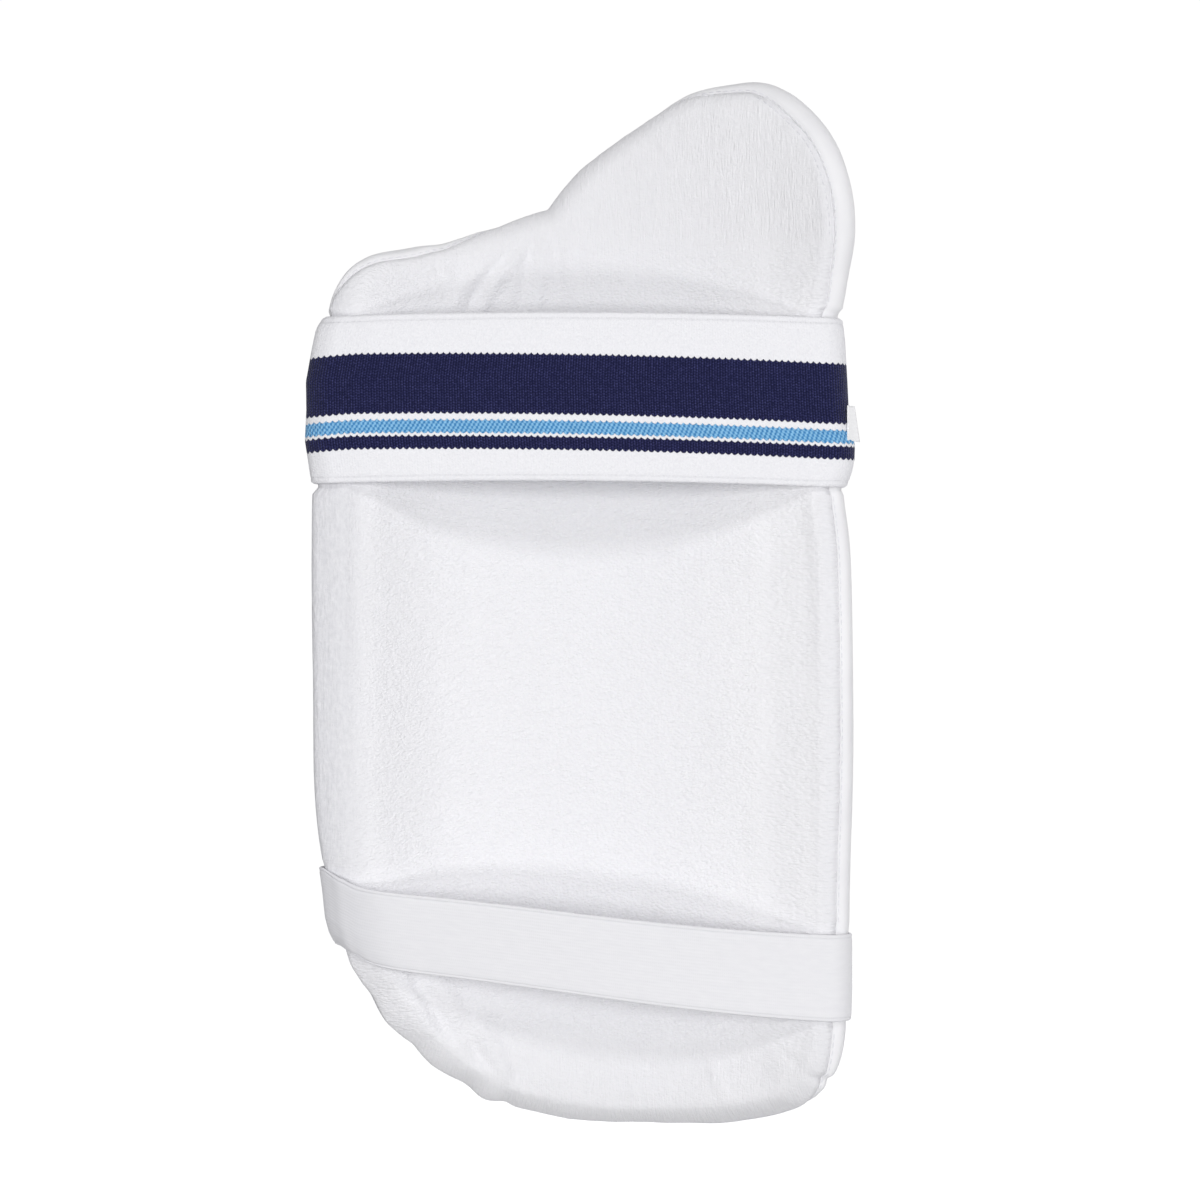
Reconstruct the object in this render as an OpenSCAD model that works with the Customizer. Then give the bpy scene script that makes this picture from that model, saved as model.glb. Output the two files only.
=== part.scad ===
// Cricket thigh pad: a curved padded panel with a hip lobe and two elastic straps.
// Upright as worn: +Z up, hip lobe at +X, towelled side facing -Y, outer cover facing +Y.
// The origin is in the middle of the opening between the straps and the towelling, where the thigh goes.
// The padding is drawn as a flat pattern (u across, v up, w out of the middle layer) and bent round the thigh.

/* [Padding] */
// Radius of the curve round the thigh, at the middle of the padding
bend_r = 152; // [148:1:158]
// Depth from the middle of the padding to the towelled face
depth_in = 8.5; // [8:0.5:9]
// Depth from the middle of the padding to the outer face at the rim
depth_out = 8.5; // [8:0.5:9]
// Extra depth of the outer face down the middle of the pad
crown = 4; // [3:0.5:5]
// How far the top and bottom edges curl towards the thigh
curl = 10; // [6:1:12]

/* [Layers] */
// Thickness of the towelling lining
lining_t = 1.6; // [1.2:0.1:2]
// Thickness of the outer cover
cover_t = 1.2; // [0.8:0.1:1.4]
// Thickness of the comfort foam behind the towelling
comfort_t = 6; // [5:0.5:6]
// Gap between the impact foam blocks, where the channels are sewn
channel = 4; // [3:0.5:6]

/* [Waist strap] */
// Width of the waist elastic
waist_w = 70; // [60:1:72]
// Height of the middle of the waist elastic
waist_z = 84; // [80:1:86]
// Length of the free end past the left rim
waist_tab = 116; // [105:1:120]

/* [Thigh strap] */
// Width of the thigh elastic
thigh_w = 34; // [28:1:36]
// Height of the middle of the thigh elastic, at x = 0
thigh_z = -138; // [-141:1:-136]
// How much the thigh elastic drops for each millimetre to the right
thigh_drop = 0.135; // [0.12:0.005:0.145]
// How far the middle of the thigh elastic hangs below a straight line between the rims
thigh_sag = 4.8; // [3:0.2:6]
// Length of the free end past the left rim
thigh_tab = 96; // [90:1:100]

/* [Elastic] */
// Thickness of the elastics
elastic_t = 1.8; // [1.4:0.1:2]
// Thickness of the hook patches
hook_t = 1; // [0.8:0.1:1.2]
// Thickness of the loop patches
loop_t = 1.2; // [1:0.1:1.4]

/* [Hidden] */

axis_y = 33 - bend_r;      // y of the axis that the pad is bent round
rim_r = 8.5;               // rounding of the rim, in the flat pattern
centre = [5, 0];           // middle of the rings that the shells are built on

// Outline of the pad as it stands, bent: x, z, and the angle round the rim where
// the towelling is sewn to the cover (-90 inner face, 0 edge, +90 outer face).
KNOTS = [
    [-111, -31, 50], [-111.5, 20, 50], [-110.5, 70, 50], [-107, 112, 30],
    [-101, 133, -20], [-90, 144, -50], [-72, 149, -62], [-51, 154, -38],
    [-32, 161.5, -10], [-16, 169.5, 0], [1, 185.5, 0], [22.5, 200.8, -5],
    [43, 213, -30], [62, 216.5, -52], [76, 216, -62], [90, 208, -72],
    [103, 192, -66], [110, 172, -58], [111.7, 152, -54], [108.5, 131, -48],
    [104.8, 102, -42], [107, 50, -36], [110, 20, -36], [111, -30, -36],
    [111, -68, -36], [110, -105, -36], [109, -150, -36], [107, -182, -36],
    [100, -198, -20], [87, -209, 0], [65, -215, 5], [40, -217.5, 5],
    [12, -218, 5], [-15, -214.5, 5], [-40, -207, 8], [-62, -192.5, 14],
    [-82, -172, 22], [-97, -145, 34], [-106.2, -111, 45], [-110.3, -78, 50]
];
SUB = 2;                   // points drawn for each knot
n_knots = len(KNOTS);
n = n_knots * SUB;

function cr(a, b, c, d, t) = 0.5 * (2 * b + (c - a) * t + (2 * a - 5 * b + 4 * c - d) * t * t + (3 * b - a - 3 * c + d) * t * t * t);
function knot(i) = KNOTS[(i + n_knots) % n_knots];
function spline(i) = let (k = floor(i / SUB), t = i / SUB - k) cr(knot(k - 1), knot(k), knot(k + 1), knot(k + 2), t);
EDGE = [for (i = [0:n - 1]) spline(i)];
function edge(i) = EDGE[(i + n) % n];
function unit(p) = p / norm(p);
function outward(i) = let (t = unit([edge(i + 1)[0] - edge(i - 1)[0], edge(i + 1)[1] - edge(i - 1)[1]])) [-t[1], t[0]];
OUT = [for (i = [0:n - 1]) outward(i)];
function to_u(x) = bend_r * asin(x / bend_r) * PI / 180;
// Outline in the flat pattern
FLAT = [for (i = [0:n - 1]) [to_u(EDGE[i][0] - OUT[i][0] * rim_r) + OUT[i][0] * rim_r, EDGE[i][1]]];

function lift(v) = curl * pow(max(0, abs(v) - 118) / 97, 2);
function bend(u, v, w) = let (a = u / bend_r * 180 / PI) [(bend_r + w) * sin(a), axis_y + (bend_r + w) * cos(a) - lift(v), v];
function h_out(u, v) = depth_out + crown * max(0, 1 - pow(u / 118, 2)) * max(0, 1 - pow(v / 222, 4));
// A point on the skin e deep in the pad, f round the rim from -90 to 90, i round the outline
function rim_pt(i, f, e) = let (d = e + (rim_r - e) * (1 - cos(f)), q = [FLAT[i][0], FLAT[i][1]] - OUT[i] * d)
    bend(q[0], q[1], f < 0 ? (depth_in - e) * sin(f) : (h_out(q[0], q[1]) - e) * sin(f));
// A point on a face: t = 0 where the rim's rounding ends, 1 in the middle of the pad
function face_uv(i, t) = let (q = [FLAT[i][0], FLAT[i][1]] - OUT[i] * rim_r) q + (centre - q) * t;
function in_pt(i, t, e) = let (q = face_uv(i, t)) bend(q[0], q[1], e - depth_in);
function out_pt(i, t, e) = let (q = face_uv(i, t)) bend(q[0], q[1], h_out(q[0], q[1]) - e);
FACE_T = [0.1, 0.28, 0.46, 0.64, 0.82];

// A closed solid from rings of n points, from one middle point to another
module onion(first, rings, last) {
    m = len(rings);
    k = len(rings[0]);
    pts = [for (r = rings) each r, first, last];
    polyhedron(points = pts, faces = [
        for (i = [0:k - 1]) [m * k, i, (i + 1) % k],
        for (j = [0:m - 2], i = [0:k - 1]) each [
            [j * k + i, (j + 1) * k + i, (j + 1) * k + (i + 1) % k],
            [j * k + i, (j + 1) * k + (i + 1) % k, j * k + (i + 1) % k]],
        for (i = [0:k - 1]) [m * k + 1, (m - 1) * k + (i + 1) % k, (m - 1) * k + i]
    ]);
}
// A closed bar from sections of four points
module bar(s) {
    m = len(s);
    polyhedron(points = [for (r = s) each r], faces = [
        [3, 2, 1], [3, 1, 0],
        for (j = [0:m - 2], i = [0:3]) each [
            [j * 4 + i, j * 4 + (i + 1) % 4, (j + 1) * 4 + (i + 1) % 4],
            [j * 4 + i, (j + 1) * 4 + (i + 1) % 4, (j + 1) * 4 + i]],
        [(m - 1) * 4, (m - 1) * 4 + 1, (m - 1) * 4 + 2], [(m - 1) * 4, (m - 1) * 4 + 2, (m - 1) * 4 + 3]
    ]);
}

// ---- padding ----
function seam(i) = EDGE[i][2];
module towel_lining() color("whitesmoke") {
    r1 = [for (t = [4:-1:0]) [for (i = [0:n - 1]) in_pt(i, FACE_T[t], 0)]];
    r2 = [for (q = [0:4]) [for (i = [0:n - 1]) rim_pt(i, -90 + (seam(i) + 90) * q / 4, 0)]];
    r3 = [for (q = [4:-1:0]) [for (i = [0:n - 1]) rim_pt(i, -90 + (seam(i) + 90) * q / 4, lining_t)]];
    r4 = [for (t = [0:4]) [for (i = [0:n - 1]) in_pt(i, FACE_T[t], lining_t)]];
    onion(bend(centre[0], centre[1], -depth_in), concat(r1, r2, r3, r4), bend(centre[0], centre[1], lining_t - depth_in));
}
module outer_cover() color("white") {
    r1 = [for (t = [4:-1:0]) [for (i = [0:n - 1]) out_pt(i, FACE_T[t], cover_t)]];
    r2 = [for (q = [5:-1:0]) [for (i = [0:n - 1]) rim_pt(i, seam(i) + 3 + (87 - seam(i)) * q / 5, cover_t)]];
    r3 = [for (q = [0:5]) [for (i = [0:n - 1]) rim_pt(i, seam(i) + 3 + (87 - seam(i)) * q / 5, 0)]];
    r4 = [for (t = [0:4]) [for (i = [0:n - 1]) out_pt(i, FACE_T[t], 0)]];
    c = h_out(centre[0], centre[1]);
    onion(bend(centre[0], centre[1], c - cover_t), concat(r1, r2, r3, r4), bend(centre[0], centre[1], c));
}
// Comfort foam fills the space behind the towelling, up to the middle layer
module comfort_foam() color("lightyellow") {
    e = 2.2;
    g = asin((comfort_t - (depth_in - e)) / (depth_in - e));   // where its flat back meets the rim
    r1 = [for (t = [4:-1:0]) [for (i = [0:n - 1]) in_pt(i, FACE_T[t], e)]];
    r2 = [for (q = [0:3]) [for (i = [0:n - 1]) rim_pt(i, -90 + (g + 90) * q / 3, e)]];
    r3 = [for (t = [0, 2, 4]) [for (i = [0:n - 1]) in_pt(i, FACE_T[t], e + comfort_t)]];
    onion(bend(centre[0], centre[1], e - depth_in), concat(r1, r2, r3), bend(centre[0], centre[1], e + comfort_t - depth_in));
}
// One impact foam block on a four-sided piece of the flat pattern: corners bottom left, bottom right, top right, top left
module foam_block(q, m = 6) {
    w0 = 2.2 + comfort_t - depth_in + 0.5;
    ts = [for (i = [0:m]) i == 0 ? 0 : i == m ? 1 : 0.06 + 0.88 * (i - 1) / (m - 2)];
    function at(a, b) = (1 - b) * ((1 - a) * q[0] + a * q[1]) + b * ((1 - a) * q[3] + a * q[2]);
    function rise(i, j) = (i == 0 || i == m || j == 0 || j == m) ? 0.45 : 1;
    top = [for (j = [0:m], i = [0:m]) let (p = at(ts[i], ts[j])) bend(p[0], p[1], w0 + (h_out(p[0], p[1]) - cover_t - 1 - w0) * rise(i, j))];
    bot = [for (j = [0:m], i = [0:m]) let (p = at(ts[i], ts[j])) bend(p[0], p[1], w0)];
    k = (m + 1) * (m + 1);
    function id(i, j) = j * (m + 1) + i;
    polyhedron(points = concat(top, bot), faces = [
        for (j = [0:m - 1], i = [0:m - 1]) each [
            [id(i + 1, j + 1), id(i, j + 1), id(i, j)], [id(i + 1, j), id(i + 1, j + 1), id(i, j)],
            [k + id(i, j + 1), k + id(i + 1, j + 1), k + id(i, j)], [k + id(i + 1, j + 1), k + id(i + 1, j), k + id(i, j)]],
        for (i = [0:m - 1]) each [
            [k + id(i + 1, 0), id(i + 1, 0), id(i, 0)], [k + id(i, 0), k + id(i + 1, 0), id(i, 0)],
            [id(i + 1, m), k + id(i + 1, m), id(i, m)], [k + id(i + 1, m), k + id(i, m), id(i, m)]],
        for (j = [0:m - 1]) each [
            [id(0, j + 1), k + id(0, j + 1), id(0, j)], [k + id(0, j + 1), k + id(0, j), id(0, j)],
            [k + id(m, j + 1), id(m, j + 1), id(m, j)], [k + id(m, j), k + id(m, j + 1), id(m, j)]]
    ]);
}
c2 = channel / 2;
UL = 40 + c2; LL = 40 - c2;   // the two lengthwise channels are at u = -40 and +40, the crosswise ones at v = 46 and -70
module impact_foam_upper_left() color("skyblue") foam_block([[-109, 46 + c2], [-UL, 46 + c2], [-UL, 146], [-95, 132]]);
module impact_foam_upper_centre() color("lightblue") foam_block([[-LL, 46 + c2], [LL, 46 + c2], [LL, 152 - c2], [-LL, 146]]);
module impact_foam_upper_right() color("skyblue") foam_block([[UL, 46 + c2], [106, 46 + c2], [107, 152 - c2], [UL, 152 - c2]]);
module impact_foam_middle_left() color("lightblue") foam_block([[-110, c2 - 70], [-UL, c2 - 70], [-UL, 46 - c2], [-110, 46 - c2]]);
module impact_foam_middle_centre() color("skyblue") foam_block([[-LL, c2 - 70], [LL, c2 - 70], [LL, 46 - c2], [-LL, 46 - c2]]);
module impact_foam_middle_right() color("lightblue") foam_block([[UL, c2 - 70], [108, c2 - 70], [106, 46 - c2], [UL, 46 - c2]]);
module impact_foam_lower_left() color("skyblue") foam_block([[-62, -176], [-UL, -190], [-UL, -70 - c2], [-108, -70 - c2]]);
module impact_foam_lower_centre() color("lightblue") foam_block([[-LL, -192], [LL, -206], [LL, -70 - c2], [-LL, -70 - c2]]);
module impact_foam_lower_right() color("skyblue") foam_block([[UL, -205], [94, -196], [107, -70 - c2], [UL, -70 - c2]]);
module impact_foam_hip() color("lightblue") foam_block([[12, 152 + c2], [106, 152 + c2], [94, 192], [44, 198]]);

// ---- stitches: short bars laid along a line of the flat pattern, l long, w0 off the middle layer ----
module stitch(u, v, w, dir, l = 3.4) {
    a = u / bend_r * 180 / PI;
    translate(bend(u, v, w)) rotate([0, 0, -a]) rotate([0, -dir, 0]) cube([l, 0.5, 0.6], center = true);
}
module stitch_row(p, q, over, pitch = 7) {
    len_pq = norm(q - p);
    m = floor(len_pq / pitch);
    dir = atan2(q[1] - p[1], q[0] - p[0]);
    for (i = [0:m - 1]) let (s = p + (q - p) * (i + 0.5) / m) stitch(s[0], s[1], h_out(s[0], s[1]) + over, dir, min(3.4, pitch * 0.6));
}
module edge_seam_stitching() color("silver")
    for (i = [0:n - 1]) let (z = EDGE[i][1]) if (seam(i) < 20 && (EDGE[i][0] < 90 || (z > 122 || abs(z + 44) < 84 || z < -180))) {
        p = rim_pt(i, seam(i) - 6, -0.5);
        d = rim_pt((i + 1) % n, seam(i) - 6, -0.5) - p;
        translate(p) rotate([0, -asin(d[2] / norm(d)), atan2(d[1], d[0])]) cube([3.6, 0.6, 0.6], center = true);
    }
module channel_stitching() color("silver") {
    for (u = [-40, 40]) {
        stitch_row([u, -186], [u, -158], 0.4);
        stitch_row([u, -98], [u, 40], 0.4);
        stitch_row([u, 126], [u, 142], 0.4);
    }
    for (r = [[-104, -46, 46], [-34, 34, 46], [46, 102, 46], [-104, -46, -70], [-34, 34, -70], [46, 102, -70], [46, 100, 152]])
        stitch_row([r[0], r[2]], [r[1], r[2]], 0.4);
}

// ---- straps ----
// Middle of the rim's rounding where the pad's edge stands at x, at height z
function rim_c(x, z) = let (cx = x - sign(x) * rim_r) [cx, axis_y + sqrt(bend_r * bend_r - cx * cx) - lift(z)];
function rim_a(x) = asin((x - sign(x) * rim_r) / bend_r);
clear = 0.8;                         // gap between an elastic and the rim
r_in = rim_r + clear;
r_out = r_in + elastic_t;
// Edge of the pad under each edge of a strap: x at the lower edge, x at the upper edge
WAIST_L = [-111.6, -109.5]; WAIST_R = [108, 108];
THIGH_L = [-102, -109]; THIGH_R = [108.8, 109.4];
waist_zs = [waist_z - waist_w / 2, waist_z + waist_w / 2];
function thigh_zs(x) = [thigh_z - thigh_drop * x - thigh_w / 2, thigh_z - thigh_drop * x + thigh_w / 2];
tz_l = thigh_zs(-104); tz_r = thigh_zs(109);

// Section of a strap at angle a round a rim, 0 at +X, for the lower and upper edge
function wrap_sec(xs, zs, a, ra, rb) = let (p = rim_c(xs[0], zs[0]), q = rim_c(xs[1], zs[1])) [
    [p[0] + ra * cos(a), p[1] + ra * sin(a), zs[0]], [q[0] + ra * cos(a), q[1] + ra * sin(a), zs[1]],
    [q[0] + rb * cos(a), q[1] + rb * sin(a), zs[1]], [p[0] + rb * cos(a), p[1] + rb * sin(a), zs[0]]];
function flip(s) = [s[3], s[2], s[1], s[0]];
// Section on the outer face, s past the rim's rounding; sg = +1 from the left rim, -1 from the right; slope = rise for each mm
function face_sec(xs, zs, s, sg, slope, o0, o1) = let (
    u0 = to_u(xs[0] - sign(xs[0]) * rim_r) + sg * s, u1 = to_u(xs[1] - sign(xs[1]) * rim_r) + sg * s,
    v0 = zs[0] + slope * s, v1 = zs[1] + slope * s, hl = h_out(u0, v0), hu = h_out(u1, v1)) [
    bend(u0, v0, hl + o0), bend(u1, v1, hu + o0), bend(u1, v1, hu + o1), bend(u0, v0, hl + o1)];
over_loop = 0.5;                                  // loop patch above the cover
tab_over = over_loop + loop_t + 0.7 + hook_t + 0.4; // tab's inner face above the cover
tab_from = 31;                                    // where the tab's stiff part starts, past the rim

// The straight span across the opening, just short of both wraps
module strap_span(lx, lz, rx, rz, sag = 0) {
    a = wrap_sec(lx, lz, 270, r_in, r_out);
    b = wrap_sec(rx, rz, 270, r_in, r_out);
    bar([for (t = [0:8]) let (k = 0.003 + 0.994 * t / 8) [for (i = [3:-1:0]) a[i] + (b[i] - a[i]) * k - [0, 0, 4 * sag * k * (1 - k)]]]);
}
// Round the left rim and on to where the tab starts: the part that bends as the tab peels off
module strap_wrap(lx, lz, slope) {
    end = 90 - rim_a(lx[0]);
    bar(concat(
        [for (k = [0:8]) wrap_sec(lx, lz, 270 + (end - 270) * k / 8, r_in, r_out)],
        [for (k = [1:4]) let (s = (tab_from - 0.4) * k / 4, o = clear + (tab_over - clear) * pow(k / 4, 1.5)) face_sec(lx, lz, s, 1, slope, o, o + elastic_t)]));
}
module strap_tab(lx, lz, slope, to)
    bar([for (k = [0:8]) face_sec(lx, lz, tab_from + (to - tab_from) * k / 8, 1, slope, tab_over, tab_over + elastic_t)]);
// A flat patch on the outer face, from s0 to s1 past the left rim, m narrower than the strap on each edge
module face_patch(lx, lz, slope, s0, s1, m, o0, o1)
    bar([for (k = [0:8]) face_sec(lx, [lz[0] + m, lz[1] - m], s0 + (s1 - s0) * k / 8, 1, slope, o0, o1)]);
// Stitches along both long edges of a patch
module patch_stitching(lx, lz, slope, s0, s1, m, over) {
    for (k = [0, 1]) let (u0 = to_u(lx[k] + rim_r), v = lz[k] + (k == 0 ? m : -m))
        stitch_row([u0 + s0, v + slope * s0], [u0 + s1, v + slope * s1], over);
}
// The folded end of a tab
module tab_binding(lx, lz, slope, to)
    difference() {
        bar([for (k = [0:3]) face_sec(lx, [lz[0] - 0.8, lz[1] + 0.8], to - 8 + 9.5 * k / 3, 1, slope, tab_over - 0.5, tab_over + elastic_t + 1)]);
        bar([for (k = [0:3]) face_sec(lx, [lz[0] - 0.2, lz[1] + 0.2], to - 9 + 9.3 * k / 3, 1, slope, tab_over - 0.2, tab_over + elastic_t + 0.2)]);
    }
// Sewn end: round the right rim and on to the outer face
module strap_anchor(rx, rz, slope, to) {
    end = 90 - rim_a(rx[0]);
    bar([for (k = [0:13]) flip(k < 9 ? wrap_sec(rx, rz, -90 + (end + 90) * k / 8, r_in, r_out)
        : face_sec(rx, rz, to * (k - 8) / 5, -1, slope, clear, clear + elastic_t))]);
}
module anchor_stitching(rx, rz, slope, to) {
    u0 = to_u(rx[0] - rim_r);
    o = clear + elastic_t + 0.45;
    a = [u0 - to + 3, rz[0] + 3 + slope * (to - 3)]; b = [u0 - to + 3, rz[1] - 3 + slope * (to - 3)];
    c = [u0 - to + 23, rz[1] - 3 + slope * (to - 23)]; d = [u0 - to + 23, rz[0] + 3 + slope * (to - 23)];
    for (r = [[a, b], [c, d]]) stitch_row(r[0] + (r[1] - r[0]) * 0.06, r[1] + (r[0] - r[1]) * 0.06, o, 5);
    for (r = [[b, c], [d, a]]) stitch_row(r[0] + (r[1] - r[0]) * 0.14, r[1] + (r[0] - r[1]) * 0.14, o, 5);
}

module waist_strap_anchor() color("white") strap_anchor(WAIST_R, waist_zs, 0, 46);
module waist_anchor_stitching() color("silver") anchor_stitching(WAIST_R, waist_zs, 0, 46);
module waist_loop_patch() color("gainsboro") face_patch(WAIST_L, waist_zs, 0, 34, 128, 4, over_loop, over_loop + loop_t);
module waist_strap_span() color("navy") strap_span(WAIST_L, waist_zs, WAIST_R, waist_zs);
module waist_strap_wrap() color("navy") strap_wrap(WAIST_L, waist_zs, 0);
module waist_strap_tab() color("navy") strap_tab(WAIST_L, waist_zs, 0, waist_tab);
module waist_hook_patch() color("lightgray") face_patch(WAIST_L, waist_zs, 0, 50, waist_tab - 10, 6, tab_over - 0.4 - hook_t, tab_over - 0.4);
module waist_tab_binding() color("white") tab_binding(WAIST_L, waist_zs, 0, waist_tab);
module waist_hook_stitching() color("silver") patch_stitching(WAIST_L, waist_zs, 0, 52, waist_tab - 12, 8, tab_over + elastic_t + 0.4);

module thigh_strap_anchor() color("white") strap_anchor(THIGH_R, tz_r, -thigh_drop, 40);
module thigh_anchor_stitching() color("silver") anchor_stitching(THIGH_R, tz_r, -thigh_drop, 40);
module thigh_loop_patch() color("gainsboro") face_patch(THIGH_L, tz_l, 0.2, 34, 106, 3, over_loop, over_loop + loop_t);
module thigh_strap_span() color("white") strap_span(THIGH_L, tz_l, THIGH_R, tz_r, thigh_sag);
module thigh_strap_wrap() color("white") strap_wrap(THIGH_L, tz_l, 0.2);
module thigh_strap_tab() color("white") strap_tab(THIGH_L, tz_l, 0.2, thigh_tab);
module thigh_hook_patch() color("lightgray") face_patch(THIGH_L, tz_l, 0.2, 46, thigh_tab - 10, 4, tab_over - 0.4 - hook_t, tab_over - 0.4);
module thigh_tab_binding() color("white") tab_binding(THIGH_L, tz_l, 0.2, thigh_tab);
module thigh_hook_stitching() color("silver") patch_stitching(THIGH_L, tz_l, 0.2, 48, thigh_tab - 12, 6, tab_over + elastic_t + 0.4);

// Size label: a blank tape tag that stands out from the right edge, over the waist strap
module size_label() color("white") {
    c = rim_c(108, 75);
    a = -35;
    translate([c[0] + (r_out + 0.8) * cos(a), c[1] + (r_out + 0.8) * sin(a), 74.5]) rotate([0, 0, a]) translate([0, 4, 0])
        cube([0.7, 9, 15], center = true);
}

outer_cover();
towel_lining();
edge_seam_stitching();
comfort_foam();
impact_foam_upper_left();
impact_foam_upper_centre();
impact_foam_upper_right();
impact_foam_middle_left();
impact_foam_middle_centre();
impact_foam_middle_right();
impact_foam_lower_left();
impact_foam_lower_centre();
impact_foam_lower_right();
impact_foam_hip();
channel_stitching();
waist_strap_anchor();
waist_anchor_stitching();
waist_loop_patch();
thigh_strap_anchor();
thigh_anchor_stitching();
thigh_loop_patch();
size_label();
waist_strap_span();
waist_strap_wrap();
waist_strap_tab();
waist_hook_patch();
waist_tab_binding();
waist_hook_stitching();
thigh_strap_span();
thigh_strap_wrap();
thigh_strap_tab();
thigh_hook_patch();
thigh_tab_binding();
thigh_hook_stitching();
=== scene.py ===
"""Cricket thigh pad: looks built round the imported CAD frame. Lengths in the helpers are millimetres until a mesh is made."""
import math

import bmesh
import bpy
import numpy as np
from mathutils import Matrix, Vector
from mathutils.geometry import delaunay_2d_cdt


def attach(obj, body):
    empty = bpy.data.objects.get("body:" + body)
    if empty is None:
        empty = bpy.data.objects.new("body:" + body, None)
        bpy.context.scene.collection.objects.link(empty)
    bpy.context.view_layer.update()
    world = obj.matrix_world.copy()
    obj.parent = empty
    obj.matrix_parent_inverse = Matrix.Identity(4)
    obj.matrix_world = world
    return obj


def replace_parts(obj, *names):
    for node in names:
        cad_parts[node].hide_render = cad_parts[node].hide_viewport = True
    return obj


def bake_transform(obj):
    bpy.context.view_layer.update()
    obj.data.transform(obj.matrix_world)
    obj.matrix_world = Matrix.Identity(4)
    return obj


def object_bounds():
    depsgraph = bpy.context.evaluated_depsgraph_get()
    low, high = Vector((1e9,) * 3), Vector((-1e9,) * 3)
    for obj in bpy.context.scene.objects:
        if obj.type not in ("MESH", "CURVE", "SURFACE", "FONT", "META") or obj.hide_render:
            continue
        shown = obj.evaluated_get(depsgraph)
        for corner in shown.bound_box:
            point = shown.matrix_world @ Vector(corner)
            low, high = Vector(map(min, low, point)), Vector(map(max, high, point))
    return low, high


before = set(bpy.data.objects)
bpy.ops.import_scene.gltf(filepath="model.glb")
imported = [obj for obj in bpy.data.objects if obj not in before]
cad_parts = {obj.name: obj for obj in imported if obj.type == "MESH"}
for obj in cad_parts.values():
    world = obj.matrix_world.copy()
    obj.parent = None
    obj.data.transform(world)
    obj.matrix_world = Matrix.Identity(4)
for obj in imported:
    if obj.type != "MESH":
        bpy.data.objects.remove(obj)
CAD_LO, CAD_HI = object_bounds()
SCENE = bpy.context.scene
MM = 0.001

# ------------------------------------------------------------------ camera
cam_data = bpy.data.cameras.new("camera")
cam_data.lens = 110
cam_data.sensor_width = 36
cam = bpy.data.objects.new("camera", cam_data)
SCENE.collection.objects.link(cam)
cam.location = (0.00697, -1.515, 0.00205)
cam.rotation_euler = (math.radians(90), 0, 0)
SCENE.camera = cam

# ------------------------------------------------------------------ the flat pattern and how it bends
R, AXIS_Y = 152.0, 33.0 - 152.0
RIM, DEPTH_IN, DEPTH_OUT, CROWN, CURL = 8.5, 8.5, 8.5, 4.0, 10.0
# x, z, seam angle round the rim, how far the rim rolls back, how far the foam swells beside it
KNOTS = np.array([
    [-111, -31, 50, 1.0, 1.0], [-111.5, 20, 50, 1.0, 1.0], [-110.5, 70, 50, 0.9, 0.9], [-107, 112, 30, 0.7, 0.6],
    [-101, 133, -12, 0.4, 0.2], [-90, 144, -40, 0.3, 0.1], [-72, 149, -50, 0.2, 0.1], [-51, 154, -22, 0.2, 0.1],
    [-32, 161.5, -4, 0.3, 0.1], [-16, 169.5, 0, 0.3, 0.1], [1, 185.5, 0, 0.3, 0.1], [22.5, 200.8, -5, 0.3, 0.1],
    [43, 213, -30, 0.3, 0.1], [62, 216.5, -52, 0.3, 0.1], [76, 216, -62, 0.3, 0.1], [90, 208, -72, 0.2, 0.1],
    [103, 192, -66, 0.2, 0.1], [110, 172, -58, 0.2, 0.2], [111.7, 152, -54, 0.2, 0.1], [108.5, 131, -48, 0.3, 0.1],
    [104.8, 102, -42, 0.3, 0.12], [107, 50, -36, 0.4, 0.12], [110, 20, -36, 0.4, 0.12], [111, -30, -36, 0.4, 0.12],
    [111, -68, -36, 0.4, 0.12], [110, -105, -36, 0.4, 0.12], [109, -150, -36, 0.4, 0.1], [107, -182, -36, 0.4, 0.1],
    [100, -198, -20, 0.5, 0.2], [87, -209, 0, 0.7, 0.1], [65, -215, 5, 0.9, 0.1], [40, -217.5, 5, 1.0, 0.1],
    [12, -218, 5, 1.0, 0.1], [-15, -214.5, 5, 1.0, 0.1], [-40, -207, 8, 1.0, 0.2], [-62, -192.5, 14, 1.0, 0.4],
    [-82, -172, 22, 1.0, 0.6], [-97, -145, 34, 1.0, 0.9], [-106.2, -111, 45, 1.0, 1.0], [-110.3, -78, 50, 1.0, 1.0]], float)


def catmull(knots, sub):
    n = len(knots)
    out = []
    for k in range(n):
        a, b, c, d = knots[k - 1], knots[k], knots[(k + 1) % n], knots[(k + 2) % n]
        for j in range(sub):
            t = j / sub
            out.append(0.5 * (2 * b + (c - a) * t + (2 * a - 5 * b + 4 * c - d) * t * t + (3 * b - a - 3 * c + d) * t ** 3))
    return np.array(out)


def to_u(x):
    return R * np.arcsin(np.clip(np.asarray(x, float) / R, -1, 1))


def lift(v):
    return CURL * (np.maximum(0, np.abs(v) - 118) / 97) ** 2


def bend(u, v, w):
    u, v, w = np.broadcast_arrays(*(np.asarray(a, float) for a in (u, v, w)))
    a = u / R
    return np.stack([(R + w) * np.sin(a), AXIS_Y + (R + w) * np.cos(a) - lift(v), v], -1)


def h_out(u, v):
    return DEPTH_OUT + CROWN * np.maximum(0, 1 - (u / 118) ** 2) * np.maximum(0, 1 - (v / 222) ** 4)


def smooth_step(x):
    x = np.clip(x, 0, 1)
    return x * x * (3 - 2 * x)


def window(x, lo, hi, soft):
    """1 between lo and hi, falling smoothly to 0 within soft outside them."""
    return smooth_step((x - lo + soft) / soft) * smooth_step((hi + soft - x) / soft)


# ------------------------------------------------------------------ noise on the flat pattern, the same each run
_TABLES = {}


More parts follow.
